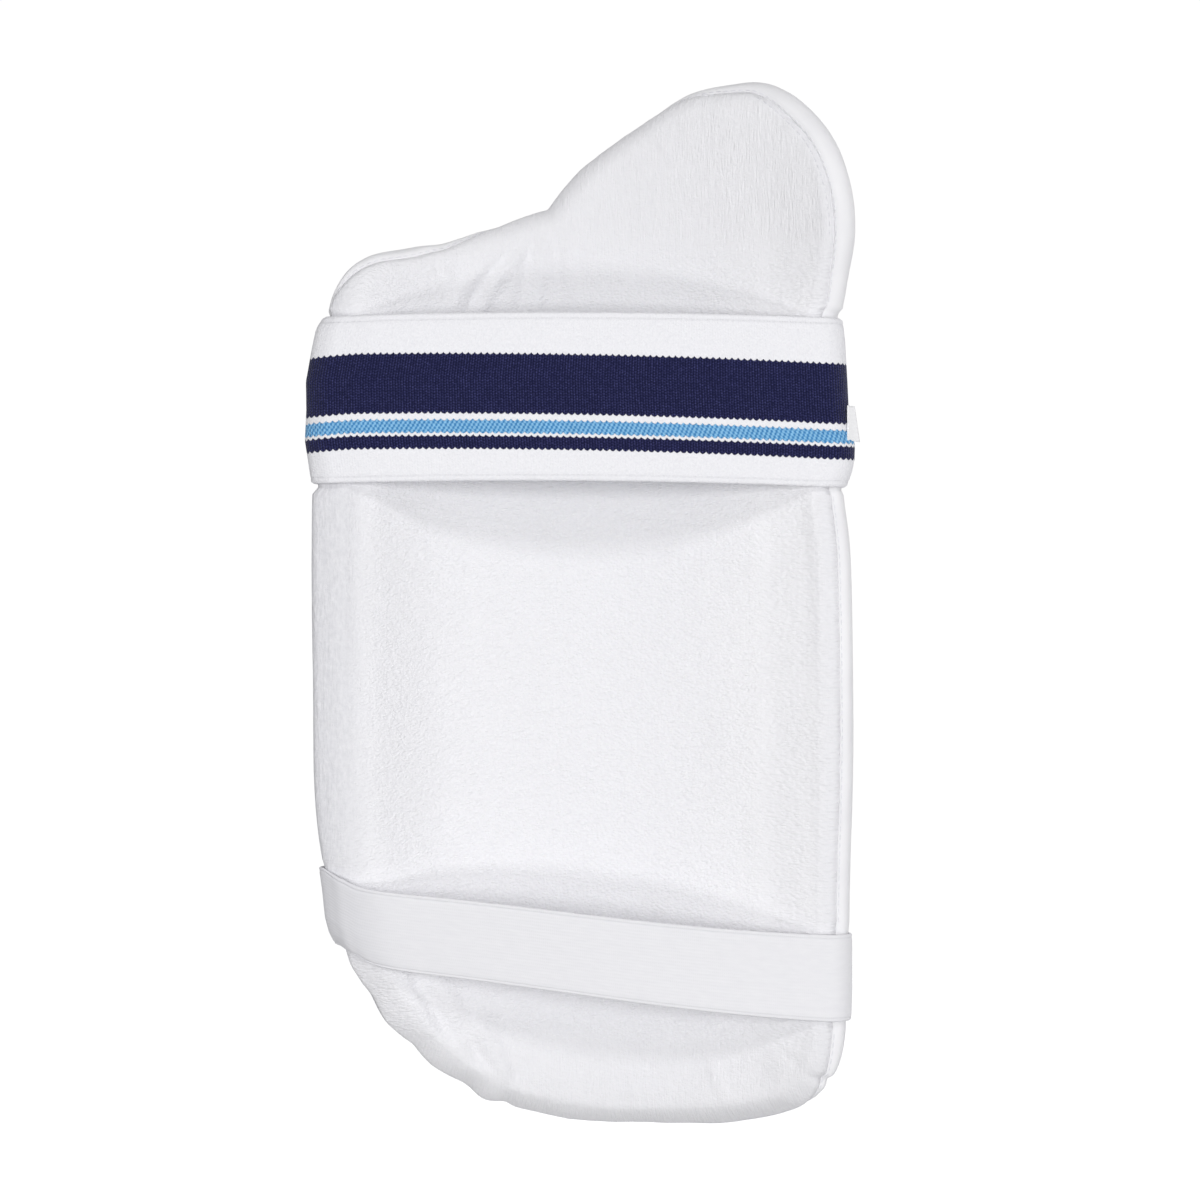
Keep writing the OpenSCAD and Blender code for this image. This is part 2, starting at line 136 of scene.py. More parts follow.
def vnoise(x, y, seed):
    """Smooth value noise from -1 to 1, one lattice cell per unit."""
    if seed not in _TABLES:
        _TABLES[seed] = np.random.RandomState(seed).uniform(-1, 1, (256, 256))
    t = _TABLES[seed]
    x, y = np.broadcast_arrays(np.asarray(x, float), np.asarray(y, float))
    xi, yi = np.floor(x).astype(int), np.floor(y).astype(int)
    fx, fy = x - xi, y - yi
    fx, fy = fx * fx * fx * (fx * (fx * 6 - 15) + 10), fy * fy * fy * (fy * (fy * 6 - 15) + 10)
    g = lambda i, j: t[(xi + i) & 255, (yi + j) & 255]
    return (g(0, 0) * (1 - fx) + g(1, 0) * fx) * (1 - fy) + (g(0, 1) * (1 - fx) + g(1, 1) * fx) * fy


def ridge(u, v, p, q, width, height, skew=0.0):
    """A soft fold along the line from p to q, fading at both ends."""
    p, q = np.array(p, float), np.array(q, float)
    d = q - p
    length = np.linalg.norm(d)
    d = d / length
    s = ((u - p[0]) * d[0] + (v - p[1]) * d[1]) / length
    c = (-(u - p[0]) * d[1] + (v - p[1]) * d[0]) + skew * length * np.sin(np.pi * np.clip(s, 0, 1))
    end = np.clip(np.minimum(s + 0.15, 1.15 - s) / 0.35, 0, 1)
    end = end * end * (3 - 2 * end)
    return height * end * np.exp(-(c / width) ** 2)


# ------------------------------------------------------------------ mesh helpers
def make_mesh(name, co_mm, faces, smooth=True, attrs=None):
    me = bpy.data.meshes.new(name)
    me.from_pydata((np.asarray(co_mm) * MM).tolist(), [], [list(map(int, f)) for f in faces])
    me.update()
    me.polygons.foreach_set("use_smooth", np.full(len(me.polygons), smooth))
    ob = bpy.data.objects.new(name, me)
    SCENE.collection.objects.link(ob)
    for key, value in (attrs or {}).items():
        at = me.attributes.new(key, "FLOAT_VECTOR", "POINT")
        at.data.foreach_set("vector", np.asarray(value, np.float32).ravel())
    return ob


def grid_faces(rows, cols, start=0):
    """Quads over rows of points, each row closed."""
    f = []
    for j in range(rows - 1):
        for i in range(cols):
            a, b = start + j * cols + i, start + j * cols + (i + 1) % cols
            f.append((a, b, b + cols, a + cols))
    return f


def recalc(ob):
    """Faces point outwards."""
    bm = bmesh.new()
    bm.from_mesh(ob.data)
    bmesh.ops.recalc_face_normals(bm, faces=bm.faces)
    bm.to_mesh(ob.data)
    bm.free()


def apply_modifiers(ob):
    dg = bpy.context.evaluated_depsgraph_get()
    me = bpy.data.meshes.new_from_object(ob.evaluated_get(dg), preserve_all_data_layers=True, depsgraph=dg)
    old = ob.data
    ob.modifiers.clear()
    ob.data = me
    bpy.data.meshes.remove(old)


def inside(points, poly):
    x, y = points[:, 0], points[:, 1]
    hit = np.zeros(len(points), bool)
    n = len(poly)
    for i in range(n):
        (x0, y0), (x1, y1) = poly[i], poly[(i + 1) % n]
        if y0 == y1:
            continue
        cross = ((y0 > y) != (y1 > y)) & (x < (x1 - x0) * (y - y0) / (y1 - y0) + x0)
        hit ^= cross
    return hit


def nearest(points, ring):
    """Distance to the nearest ring point, and which it is."""
    d2 = (points ** 2).sum(1)[:, None] + (ring ** 2).sum(1)[None] - 2 * points @ ring.T
    k = d2.argmin(1)
    return np.sqrt(np.maximum(d2[np.arange(len(points)), k], 0)), k


def fill(ring, step):
    """Triangles over the inside of a closed ring, with an even grid of points. The ring's own points come first."""
    lo, hi = ring.min(0), ring.max(0)
    rows = np.arange(lo[1], hi[1], step * 0.866)
    pts = [np.stack([np.arange(lo[0] + (step / 2 if j % 2 else 0), hi[0], step), np.full(len(np.arange(lo[0] + (step / 2 if j % 2 else 0), hi[0], step)), y)], 1)
           for j, y in enumerate(rows)]
    pts = np.concatenate(pts)
    pts = pts[inside(pts, ring)]
    near, _ = nearest(pts, ring)
    pts = pts[near > step * 0.72]
    every = np.concatenate([ring, pts])
    n = len(ring)
    edges = [(i, (i + 1) % n) for i in range(n)]
    out = delaunay_2d_cdt([Vector(p) for p in every], edges, [list(range(n))], 1, 1e-5)
    verts = np.array([[p[0], p[1]] for p in out[0]])
    origin = [o[0] for o in out[3]]
    place = np.empty(len(origin), int)
    place[:] = origin
    assert len(set(origin)) == len(every) == len(verts)
    return every, [tuple(int(place[i]) for i in f) for f in out[2]]


# ------------------------------------------------------------------ outline in the flat pattern
SUB = 16
EDGE = catmull(KNOTS, SUB)
NR = len(EDGE)
tan = np.roll(EDGE[:, :2], -1, 0) - np.roll(EDGE[:, :2], 1, 0)
tan /= np.linalg.norm(tan, axis=1)[:, None]
OUT = np.stack([-tan[:, 1], tan[:, 0]], 1)
SEAM, ROLL, SWELL = EDGE[:, 2], EDGE[:, 3], EDGE[:, 4]
FLAT = np.stack([to_u(EDGE[:, 0] - OUT[:, 0] * RIM) + OUT[:, 0] * RIM, EDGE[:, 1]], 1)
# the corner where the hip lobe leaves the shoulder is a sharp tuck
notch = np.linalg.norm(EDGE[:, :2] - np.array([-17.0, 169.0]), axis=1)
FLAT -= OUT * (2.6 * np.exp(-notch / 5.5))[:, None]
INSET = FLAT - OUT * RIM
ARC = np.concatenate([[0], np.cumsum(np.linalg.norm(np.diff(np.vstack([FLAT, FLAT[:1]]), axis=0), axis=1))])


def table(rows):
    z, x = zip(*rows)
    return lambda q: np.interp(q, z, x)


# where the inner turn of each strap sits, by height
WAIST_LEFT = table([(48, -108.6), (51, -109.9), (67.7, -112.3), (80, -111.6), (92, -111.9), (106.6, -109.4), (112.8, -108.2), (116, -106.9), (119.4, -104.2)])
WAIST_RIGHT = table([(48, 106.2), (51, 107.4), (55, 108.8), (60, 109.8), (66, 110.0), (72, 108.2), (80, 107.4), (92, 106.9), (108.6, 106.1), (116.5, 105.2), (118.6, 104.2)])
THIGH_LEFT = table([(-141.5, -100.2), (-138.6, -101.9), (-135, -103.6), (-129, -105.1), (-117, -106.2), (-107.8, -107.3)])
THIGH_RIGHT = table([(-171, 108.6), (-160, 109.0), (-135, 109.0)])


def press_on_rim():
    """How far each strap squeezes the rim, for each outline point."""
    x, z = EDGE[:, 0], EDGE[:, 1]
    out = np.zeros(NR)
    for side, turn, lo, hi, room in ((-1, WAIST_LEFT, 49, 119.5, 0.9), (1, WAIST_RIGHT, 48, 119, 0.3), (-1, THIGH_LEFT, -141, -107, 0.3), (1, THIGH_RIGHT, -171, -135, 0.3)):
        here = (np.sign(x) == side) & (np.abs(x) > 85)
        need = np.maximum(0.35, np.abs(x) - np.abs(turn(z)) + room)
        out = np.maximum(out, np.where(here, need * window(z, lo, hi, 2.6), 0))
    return out


PRESS = press_on_rim()


def along(k):
    return np.interp(k, np.arange(NR + 1), ARC)


def puckers(k):
    s = along(k)
    return 0.55 * vnoise(s / 9.0, 0.5, 11) + 0.35 * vnoise(s / 4.2, 3.5, 12)


def big_folds(k):
    """The rim's own waves round the lower left corner and the bottom, in mm outwards."""
    out = np.zeros(len(k))
    p = EDGE[k.astype(int) % NR, :2]
    for at, width, height in (((-95, -149), 6, 0.9), ((-88, -163), 5, -1.0), ((-80, -174), 6, 0.8), ((-71, -184), 4, -0.9), ((-62, -192.5), 6, 0.7),
                              ((-50, -201), 5, -1.0), ((-41, -206.5), 5, 1.3), ((-33, -210), 3, -1.0), ((-8, -216), 9, 0.5), ((22, -218), 8, -0.5),
                              ((55, -216), 9, 0.5), ((84, -210), 6, -0.5), ((101, -196), 2.2, -1.6), ((-104, -120), 8, 0.3), ((-60, 151), 5, -0.7), ((-45, 156), 5, 0.5)):
        out += height * np.exp(-(np.linalg.norm(p - np.array(at), axis=1) / width) ** 2)
    return out


def rolled(f):
    """How far the rim is pushed back at angle f."""
    return 5.9 * np.sin(np.pi * np.clip((f + 95) / 150, 0, 1)) ** 1.2


def rim_row(f, e, bulge=0.0):
    """Points of the rim at angle f for each outline point, e below the skin."""
    f = np.broadcast_to(np.asarray(f, float), (NR,))
    fr = np.radians(f)
    wave = big_folds(np.arange(NR))
    d = e + (RIM - e) * (1 - np.cos(fr)) + (PRESS - bulge - wave) * np.cos(fr)
    lowest = np.where(f < 0, DEPTH_IN, 0)
    q0 = FLAT - OUT * d[:, None]
    ho = h_out(q0[:, 0], q0[:, 1])
    w = np.where(f < 0, DEPTH_IN - e + bulge, ho - e + bulge) * np.sin(fr) + rolled(f) * ROLL
    room = np.sqrt(np.maximum(0, (RIM - e) ** 2 - w ** 2))
    d = np.where(np.abs(w) < RIM - e, np.maximum(d, RIM - room + PRESS * np.cos(fr) - wave * np.cos(fr)), d)
    return FLAT - OUT * d[:, None], w


# ------------------------------------------------------------------ shape of the two faces
def swell(a):
    """The foam's swelling beside the rim, a from the outline."""
    return 3.3 * (1 - np.exp(-((a - 8) / 8.5) ** 2)) * np.exp(-(np.maximum(0, a - 20) / 25) ** 2)


def face_in(u, v):
    """How far the towelling stands proud of the plain inner face, in mm."""
    d = 0.55 * vnoise(u / 55, v / 60, 1) + 0.32 * vnoise(u / 24, v / 30, 2) + 0.12 * vnoise(u / 9, v / 11, 3)
    # folds fanning down from the notch beside the hip lobe
    d += ridge(u, v, (-26, 150), (-48, 121), 3.0, 1.9, 0.05)
    d -= ridge(u, v, (-31, 149), (-53, 121), 2.2, 1.3, 0.05)
    d += ridge(u, v, (-38, 149), (-60, 124), 3.2, 1.4, 0.04)
    d += ridge(u, v, (-17, 162), (-21, 118), 2.6, 1.3)
    d -= ridge(u, v, (-22, 160), (-29, 122), 2.4, 1.2)
    d += ridge(u, v, (-9, 160), (-2, 118), 3.4, 0.9)
    d -= ridge(u, v, (-12, 164), (-11, 130), 2.2, 0.8)
    # puckers under the shoulder seam
    d += ridge(u, v, (-66, 143), (-60, 136), 1.5, 1.2)
    d -= ridge(u, v, (-70, 142), (-65, 137), 1.3, 0.8)
    d += ridge(u, v, (-100, 128), (-112, 104), 3.0, 0.6)
    # long folds that run off the lower left corner, nearly along the outline, and along the bottom
    d += ridge(u, v, (-104, -132), (-97, -156), 4.0, 1.5, 0.02)
    d -= ridge(u, v, (-98, -138), (-87, -168), 4.0, 1.7, 0.03)
    d += ridge(u, v, (-89, -150), (-69, -185), 4.6, 2.0, 0.02)
    d -= ridge(u, v, (-80, -150), (-57, -187), 4.4, 2.2, -0.02)
    d += ridge(u, v, (-70, -150), (-49, -184), 4.8, 1.7, 0.02)
    d -= ridge(u, v, (-56, -172), (-38, -206), 3.2, 2.3)
    d += ridge(u, v, (-48, -172), (-31, -204), 4.0, 1.7)
    d -= ridge(u, v, (-34, -186), (-25, -208), 3.4, 0.8)
    d += ridge(u, v, (20, -208), (26, -192), 3.4, 0.6)
    d += ridge(u, v, (64, -206), (58, -190), 3.4, 0.6)
    return d


def sewn_over(u, v):
    """1 where a patch or a strap's sewn end lies flat on the outer face."""
    m = window(u, -82, 21, 4) * window(v, 48, 120, 4)
    s = u + 103
    m = np.maximum(m, window(s, 30, 110, 4) * window(v - 0.2 * s, -144, -103, 4))
    m = np.maximum(m, window(u, 60, 125, 4) * window(v, 47, 121, 4))
    s = 110 - u
    return np.maximum(m, window(s, -10, 44, 4) * window(v - 0.135 * s, -173, -133, 4))


def channels(u, v):
    """Distance to the nearest sewn channel of the outer cover."""
    d = np.minimum(np.abs(u + 40), np.abs(u - 40))
    for level, a, b in ((46, -125, 125), (-70, -125, 125), (152, 6, 125)):
        past = np.maximum(0, np.maximum(a - u, u - b))
        d = np.minimum(d, np.hypot(v - level, past))
    return d


def face_out(u, v):
    """How far the outer cover stands proud of the plain outer face: 0.2 or less."""
    d = channels(u, v)
    flat = sewn_over(u, v)
    puff = -4.4 * np.exp(-(d / 5.0) ** 1.3)
    puff += (0.35 * vnoise(u / 26, v / 30, 21) + 0.12 * vnoise(u / 10, v / 12, 22)) * np.clip(d / 10, 0, 1)
    # short gathers that run off each channel
    puff += 0.5 * np.exp(-((d - 4.5) / 4.0) ** 2) * vnoise(u / 3.4, v / 3.4, 23)
    return np.minimum(puff * (1 - flat) - 0.45, 0.2)


MID, TRI = fill(INSET, 1.9)
MID_D, MID_K = nearest(MID, INSET)
MID_D[:NR] = 0
MID_K[:NR] = np.arange(NR)


def inner_face(q, dist, k):
    fade = smooth_step(dist / 7.0)
    pk = puckers(k.astype(float)) * np.exp(-dist / 6.0) * 0.44
    back = 0.4 * ROLL[k] * np.exp(-dist / 2.5)
    wave = big_folds(k) * np.exp(-dist / 9.0) * 0.8
    return -(DEPTH_IN + face_in(q[:, 0], q[:, 1]) * fade + pk + SWELL[k] * swell(RIM + dist) - back + wave * (1 - np.exp(-dist / 3)))


def outer_face(q, dist, k):
    fade = smooth_step(dist / 7.0)
    pk = puckers(k.astype(float)) * np.exp(-dist / 6.0) * 0.2
    return h_out(q[:, 0], q[:, 1]) + face_out(q[:, 0], q[:, 1]) * fade + pk


def skin(name, side):
    """One side of the pad as a closed thin shell. side -1: towelling, +1: outer cover."""
    thickness = 1.3 if side < 0 else 0.9
    w = inner_face(MID, MID_D, MID_K) if side < 0 else outer_face(MID, MID_D, MID_K)
    co = [bend(MID[:, 0], MID[:, 1], w)]
    at = [np.stack([MID[:, 0], MID[:, 1], MID_D], 1)]
    rings = [np.arange(NR)]
    total = len(MID)
    k = np.arange(NR)
    steps = 15
    for j in range(1, steps + 1):
        x = j / steps
        f0 = -90.0 if side < 0 else 90.0
        f = f0 + (SEAM - f0) * (1 - (1 - x) ** 1.25)
        arc = np.abs(f - SEAM) * np.pi / 180 * RIM
        turned = np.abs(f - f0) * np.pi / 180 * RIM
        e = 1.5 * np.exp(-(arc / 1.5) ** 1.6)
        pk = puckers(k.astype(float)) * np.exp(-arc / 5.0) * (0.36 if side < 0 else 0.27) * np.clip(turned / 5, 0, 1) * np.clip(arc / 1.2, 0, 1)
        q, w = rim_row(f, e - pk)
        w = w + (-0.44 if side < 0 else 0.2) * puckers(k.astype(float)) * np.exp(-turned / 5.0)
        co.append(bend(q[:, 0], q[:, 1], w))
        at.append(np.stack([FLAT[:, 0] + OUT[:, 0] * (turned - RIM), FLAT[:, 1] + OUT[:, 1] * (turned - RIM), -turned], 1))
        rings.append(total + np.arange(NR))
        total += NR
    for e in (2.3, 3.5, 4.6):
        q, w = rim_row(SEAM, np.full(NR, e))
        co.append(bend(q[:, 0], q[:, 1], w + (0.12 if side > 0 else -0.12)))
        last = at[-1].copy()
        last[:, 2] = -60
        at.append(last)
        rings.append(total + np.arange(NR))
        total += NR
    faces = [tuple(f) for f in TRI]
    for a, b in zip(rings[:-1], rings[1:]):
        faces += [(int(a[i]), int(b[i]), int(b[(i + 1) % NR]), int(a[(i + 1) % NR])) for i in range(NR)]
    ob = make_mesh(name, np.concatenate(co), faces, attrs={"flat": np.concatenate(at)})
    bm = bmesh.new()
    bm.from_mesh(ob.data)
    bmesh.ops.recalc_face_normals(bm, faces=bm.faces)
    # an open sheet: face the middle outwards
    bm.faces.ensure_lookup_table()
    mid = min(bm.faces, key=lambda g: (g.calc_center_median() - Vector((0, 0.03, 0))).length)
    if (mid.normal.y > 0) != (side > 0):
        bmesh.ops.reverse_faces(bm, faces=bm.faces)
    bm.to_mesh(ob.data)
    bm.free()
    solid = ob.modifiers.new("thick", "SOLIDIFY")
    solid.thickness = thickness * MM
    solid.offset = -1
    apply_modifiers(ob)
    return ob


# ------------------------------------------------------------------ foam
def rounded(corners, times=3, step=3.0):
    """A polygon with cut and rounded corners, resampled evenly."""
    p = np.array(corners, float)
    for _ in range(times):
        nxt = np.roll(p, -1, 0)
        length = np.linalg.norm(nxt - p, axis=1)[:, None]
        cut = np.minimum(0.25, 7.0 / np.maximum(length, 1e-6))
        p = np.stack([p + (nxt - p) * cut, p + (nxt - p) * (1 - cut)], 1).reshape(-1, 2)
    closed = np.vstack([p, p[:1]])
    s = np.concatenate([[0], np.cumsum(np.linalg.norm(np.diff(closed, axis=0), axis=1))])
    t = np.linspace(0, s[-1], max(12, int(s[-1] / step)), endpoint=False)
    return np.stack([np.interp(t, s, closed[:, 0]), np.interp(t, s, closed[:, 1])], 1)


def slab(name, ring, low, high, step=3.0, edge=2.2):
    """A foam piece over a closed ring of the flat pattern, between two heights, with rounded edges."""
    pts, tri = fill(ring, step)
    d, _ = nearest(pts, ring)
    n = len(ring)
    d[:n] = 0
    lo, hi = low(pts[:, 0], pts[:, 1]), high(pts[:, 0], pts[:, 1])
    mid = (lo + hi) / 2
    share = np.sqrt(np.clip(1 - (1 - np.clip(d / edge, 0, 1)) ** 2, 0.0, 1)) * 0.45 + 0.55
    top, bot = mid + (hi - mid) * share, mid + (lo - mid) * share
    nxt, prv = np.roll(ring, -1, 0), np.roll(ring, 1, 0)
    t = nxt - prv
    t /= np.linalg.norm(t, axis=1)[:, None]
    area2 = np.sum(ring[:, 0] * nxt[:, 1] - nxt[:, 0] * ring[:, 1])
    normal = np.stack([t[:, 1], -t[:, 0]], 1) * (1 if area2 > 0 else -1)
    co = [bend(pts[:, 0], pts[:, 1], top), bend(pts[:, 0], pts[:, 1], bot)]
    flat = [np.stack([pts[:, 0], pts[:, 1], top], 1), np.stack([pts[:, 0], pts[:, 1], bot], 1)]
    m = len(pts)
    rings = [np.arange(n)]
    total = 2 * m
    for a in (50, 25, 0, -25, -50):
        ang = math.radians(a)
        out = ring + normal * edge * 0.55 * math.cos(ang)
        level = mid[:n] + (top[:n] - mid[:n]) * math.sin(ang)
        co.append(bend(out[:, 0], out[:, 1], level))
        flat.append(np.stack([out[:, 0], out[:, 1], level], 1))
        rings.append(total + np.arange(n))
        total += n
    rings.append(m + np.arange(n))
    faces = [tuple(f) for f in tri] + [tuple(reversed([m + i for i in f])) for f in tri]
    for a, b in zip(rings[:-1], rings[1:]):
        faces += [(int(a[i]), int(b[i]), int(b[(i + 1) % n]), int(a[(i + 1) % n])) for i in range(n)]
    ob = make_mesh(name, np.concatenate(co), faces, attrs={"flat": np.concatenate(flat)})
    recalc(ob)
    return ob


# ------------------------------------------------------------------ straps
def natural(side):
    """The pad's own rim position by height on one side."""
    pick = (np.sign(EDGE[:, 0]) == side) & (np.abs(EDGE[:, 0]) > 88) & (EDGE[:, 1] > -176) & (EDGE[:, 1] < 136)
    z, x = EDGE[pick, 1], EDGE[pick, 0]
    order = np.argsort(z)
    return lambda q: np.interp(q, z[order], x[order])


RIM_LEFT, RIM_RIGHT = natural(-1), natural(1)


def mid_y(cx, z):
    return AXIS_Y + np.sqrt(R * R - cx * cx) - lift(z)


def square(cx, s):
    """Where the face begins for each cross position: as the rim has it near the rim, the same for all further on."""
    u = to_u(cx)
    return u + (u.mean() - u) * smooth_step(s / 26)


def strap_path(spec):
    """Stations along a strap, from its sewn end on the outer face at the right, round the right rim, across, round the left rim and
    on to the outer face at the left: inner and outer surface points for each station and cross position, and the length along it."""
    ncross, thick, clear = spec["ncross"], spec["thick"], spec["clear"]
    x = np.linspace(-1, 1, ncross)
    t = (np.sin(x * np.pi / 2) * 0.35 + x * 0.65 + 1) / 2
    zl, zr = spec["z_left"](t), spec["z_right"](t)
    cxl, cxr = spec["left"](zl) + RIM, spec["right"](zr) - RIM
    cyl, cyr = mid_y(RIM_LEFT(zl) + RIM, zl), mid_y(RIM_RIGHT(zr) - RIM, zr)
    al, ar = 90 - np.degrees(np.arcsin(cxl / R)), 90 - np.degrees(np.arcsin(cxr / R))
    pin, pout, kind, how = [], [], [], []
    ra = RIM + clear

    def face(cx, cy, z, s, sg, slope, o):
        u, v = square(cx, s) + sg * s, z + slope * s
        h = h_out(u, v)
        move = np.stack([0 * cx, (cy - mid_y(cx, z)) * np.exp(-s / 10), 0 * cx], -1)
        return bend(u, v, h + o) + move, bend(u, v, h + o + thick) + move

    def turn(cx, cy, z, ang):
        d = np.stack([np.cos(ang), np.sin(ang)], -1)
        c = np.stack([cx, cy], -1)
        return [np.concatenate([c + d * r, z[:, None]], 1) for r in (ra, ra + thick)]

    for s in np.concatenate([np.linspace(spec["anchor"], 4, 24), [2.4, 1.0]]):
        a, b = face(cxr, cyr, zr, s, -1, spec["slope_r"], clear)
        pin.append(a), pout.append(b), kind.append(0)
    for k in np.linspace(0, 1, 26):
        a, b = turn(cxr, cyr, zr, np.radians(ar + (-90 - ar) * k))
        pin.append(a), pout.append(b), kind.append(1)
    r0, l0 = np.stack([cxr, cyr - ra, zr], -1), np.stack([cxl, cyl - ra, zl], -1)
    for k in np.linspace(0, 1, 152)[1:-1]:
        p = r0 + (l0 - r0) * k + np.array([0, 0, -4 * spec["sag"] * k * (1 - k)])
        pin.append(p), pout.append(p - np.array([0, thick, 0])), kind.append(2)
    for k in np.linspace(0, 1, 26):
        a, b = turn(cxl, cyl, zl, np.radians(270 + (al - 270) * k))
        pin.append(a), pout.append(b), kind.append(3)
    for s in np.concatenate([[1.0, 2.4], np.linspace(4, 31, 18), np.linspace(31, spec["tab"], 56)[1:]]):
        o = clear + (TAB_OVER - clear) * min(1, s / 31) ** 1.5
        a, b = face(cxl, cyl, zl, s, 1, spec["slope_l"], o)
        pin.append(a), pout.append(b), kind.append(4)
    pin, pout = np.array(pin), np.array(pout)
    # the strap eases over each rim instead of turning sharply
    for cx, cy, sign, ease in ((cxl, cyl, -1, spec["ease_l"]), (cxr, cyr, 1, spec["ease_r"])):
        for arr in (pin, pout):
            g = smooth_step(((arr[..., 0] - cx) * sign + 17) / 25)
            front = np.clip((cy - arr[..., 1]) / RIM, 0, 1)
            arr[..., 1] += ease * g * front
    # past the left rim the strap hangs below the straight line
    for arr in (pin, pout):
        s = np.maximum(0, arr[..., 0] - spec["left"](zl))
        front = np.clip((cyl - arr[..., 1]) / RIM, 0, 1)
        drop = spec["drop"] * (1 - np.exp(-s / 4.5)) * np.exp(-(np.maximum(0, s - 12) / 48) ** 1.5) * np.where(front <= 0, 0, np.where(s < 20, front, 1))
        arr[..., 2] -= drop
        arr[..., 1] -= 0.15 * drop
    mid = (pin[:, ncross // 2] + pout[:, ncross // 2]) / 2
    length = np.concatenate([[0], np.cumsum(np.linalg.norm(np.diff(mid, axis=0), axis=1))])
    return pin, pout, np.array(kind), length, t, dict(cxl=cxl, cyl=cyl, zl=zl, cxr=cxr, cyr=cyr, zr=zr)


def ribbon(name, pin, pout, length, across, height, share, caps=(True, True), ripple=None, end_round=(0, 0)):
    """A closed ribbon through stations. share(t) is the half thickness at a cross position; end_round tapers an end over so many mm."""
    n, m = len(pin), pin.shape[1]
    c, h = (pin + pout) / 2, (pout - pin) / 2
    part = np.broadcast_to(share(across)[None, :], (n, m)).copy()
    for end, r in zip((0, 1), end_round):
        if r:
            d = np.abs(length - length[0 if end == 0 else -1]) / r
            part *= np.sqrt(np.clip(1 - (1 - np.clip(d, 0, 1)) ** 2, 0.03, 1))[:, None]
    if ripple is not None:
        c = c + ripple(length, across)[..., None] * h / np.linalg.norm(h, axis=-1, keepdims=True)
    top, bot = c + h * part[..., None], c - h * part[..., None]
    loop = np.concatenate([top, bot[:, ::-1]], 1)
    uv = np.stack([np.broadcast_to(length[:, None], (n, m)), np.broadcast_to(across[None] * height, (n, m)), np.ones((n, m))], -1)
    uv = np.concatenate([uv, (uv * np.array([1, 1, -1]))[:, ::-1]], 1)
    faces = grid_faces(n, 2 * m)
    for end in (0, n - 1):
        o = end * 2 * m
        for i in range(m - 1):
            q = (o + i, o + i + 1, o + 2 * m - 2 - i, o + 2 * m - 1 - i)
            faces.append(q if end == 0 else tuple(reversed(q)))
    ob = make_mesh(name, loop.reshape(-1, 3), faces, attrs={"flat": uv.reshape(-1, 3)})
    recalc(ob)
    me = ob.data
    cap = set()
    for p in list(me.polygons)[-2 * (m - 1):]:
        p.use_smooth = False
        cap.update(tuple(sorted(k)) for k in p.edge_keys)
    sharp = me.attributes.get("sharp_edge") or me.attributes.new("sharp_edge", "BOOLEAN", "EDGE")
    sharp.data.foreach_set("value", np.array([tuple(sorted(e.vertices)) in cap for e in me.edges], bool))
    return ob


def band(width, thick, dips=()):
    def f(t):
        d = np.minimum(t, 1 - t) * width
        edge = np.sqrt(np.clip(1 - (1 - np.clip(d / (thick / 2), 0, 1)) ** 2, 0.02, 1))
        for at, wd, depth in dips:
            edge = edge * (1 - depth * np.exp(-((t * width - at) / wd) ** 2))
        return edge
    return f


WAIST_H, THIGH_H = 70.0, 34.0
TAB_OVER = 3.8
WAIST = dict(left=WAIST_LEFT, right=WAIST_RIGHT, z_left=lambda t: 49.8 + 69.0 * t, z_right=lambda t: 48.4 + 69.6 * t, sag=-1.7, slope_l=0.0, slope_r=0.0,
             tab=116, anchor=46, thick=1.8, ncross=61, clear=0.35, ease_l=2.4, ease_r=0.6, drop=0.0)
THIGH = dict(left=THIGH_LEFT, right=THIGH_RIGHT, z_left=lambda t: -140.5 + 32.6 * t, z_right=lambda t: -170.4 + 35.4 * t, sag=4.8, slope_l=0.2, slope_r=-0.135,
             tab=96, anchor=40, thick=1.3, ncross=41, clear=0.35, ease_l=3.6, ease_r=0.5, drop=6.6)


def face_plate(name, spec, side, s0, s1, t0, t1, o0, o1, edge=1.0, steps=60):
    """A thin sewn piece lying on the outer face, in a strap's own coordinates: s along it from the rim, t across it."""
    t = np.linspace(t0, t1, 33)
    z = spec["z_left"](t) if side < 0 else spec["z_right"](t)
    cx = (spec["left"](z) + RIM) if side < 0 else (spec["right"](z) - RIM)
    cx = np.full(len(t), cx.mean())
    slope = spec["slope_l"] if side < 0 else spec["slope_r"]
    pin, pout = [], []
    ss = np.linspace(s0, s1, steps)
    ss = np.sort(np.concatenate([ss, s0 + np.array([0.12, 0.35, 0.7]), s1 - np.array([0.12, 0.35, 0.7])]))
    for s in ss:
        u, v = to_u(cx) + (s if side < 0 else -s), z + slope * s
        h = h_out(u, v)
        pin.append(bend(u, v, h + o0)), pout.append(bend(u, v, h + o1))
    width = abs(z[-1] - z[0])
    return ribbon(name, np.array(pin), np.array(pout), ss, np.linspace(0, 1, len(t)), width, band(width, 2 * edge), end_round=(edge, edge))


def on_plate(spec, side, s, t, o):
    """Points on the outer face in a strap's coordinates."""
    every = np.linspace(0, 1, 61)
    level = spec["z_left"] if side < 0 else spec["z_right"]
    rim_at = (lambda q: spec["left"](q) + RIM) if side < 0 else (lambda q: spec["right"](q) - RIM)
    middle, here = to_u(rim_at(level(every))).mean(), to_u(rim_at(level(t)))
    slope = spec["slope_l"] if side < 0 else spec["slope_r"]
    u, v = here + (middle - here) * smooth_step(s / 26) + (s if side < 0 else -s), level(t) + slope * s
    return bend(u, v, h_out(u, v) + o)


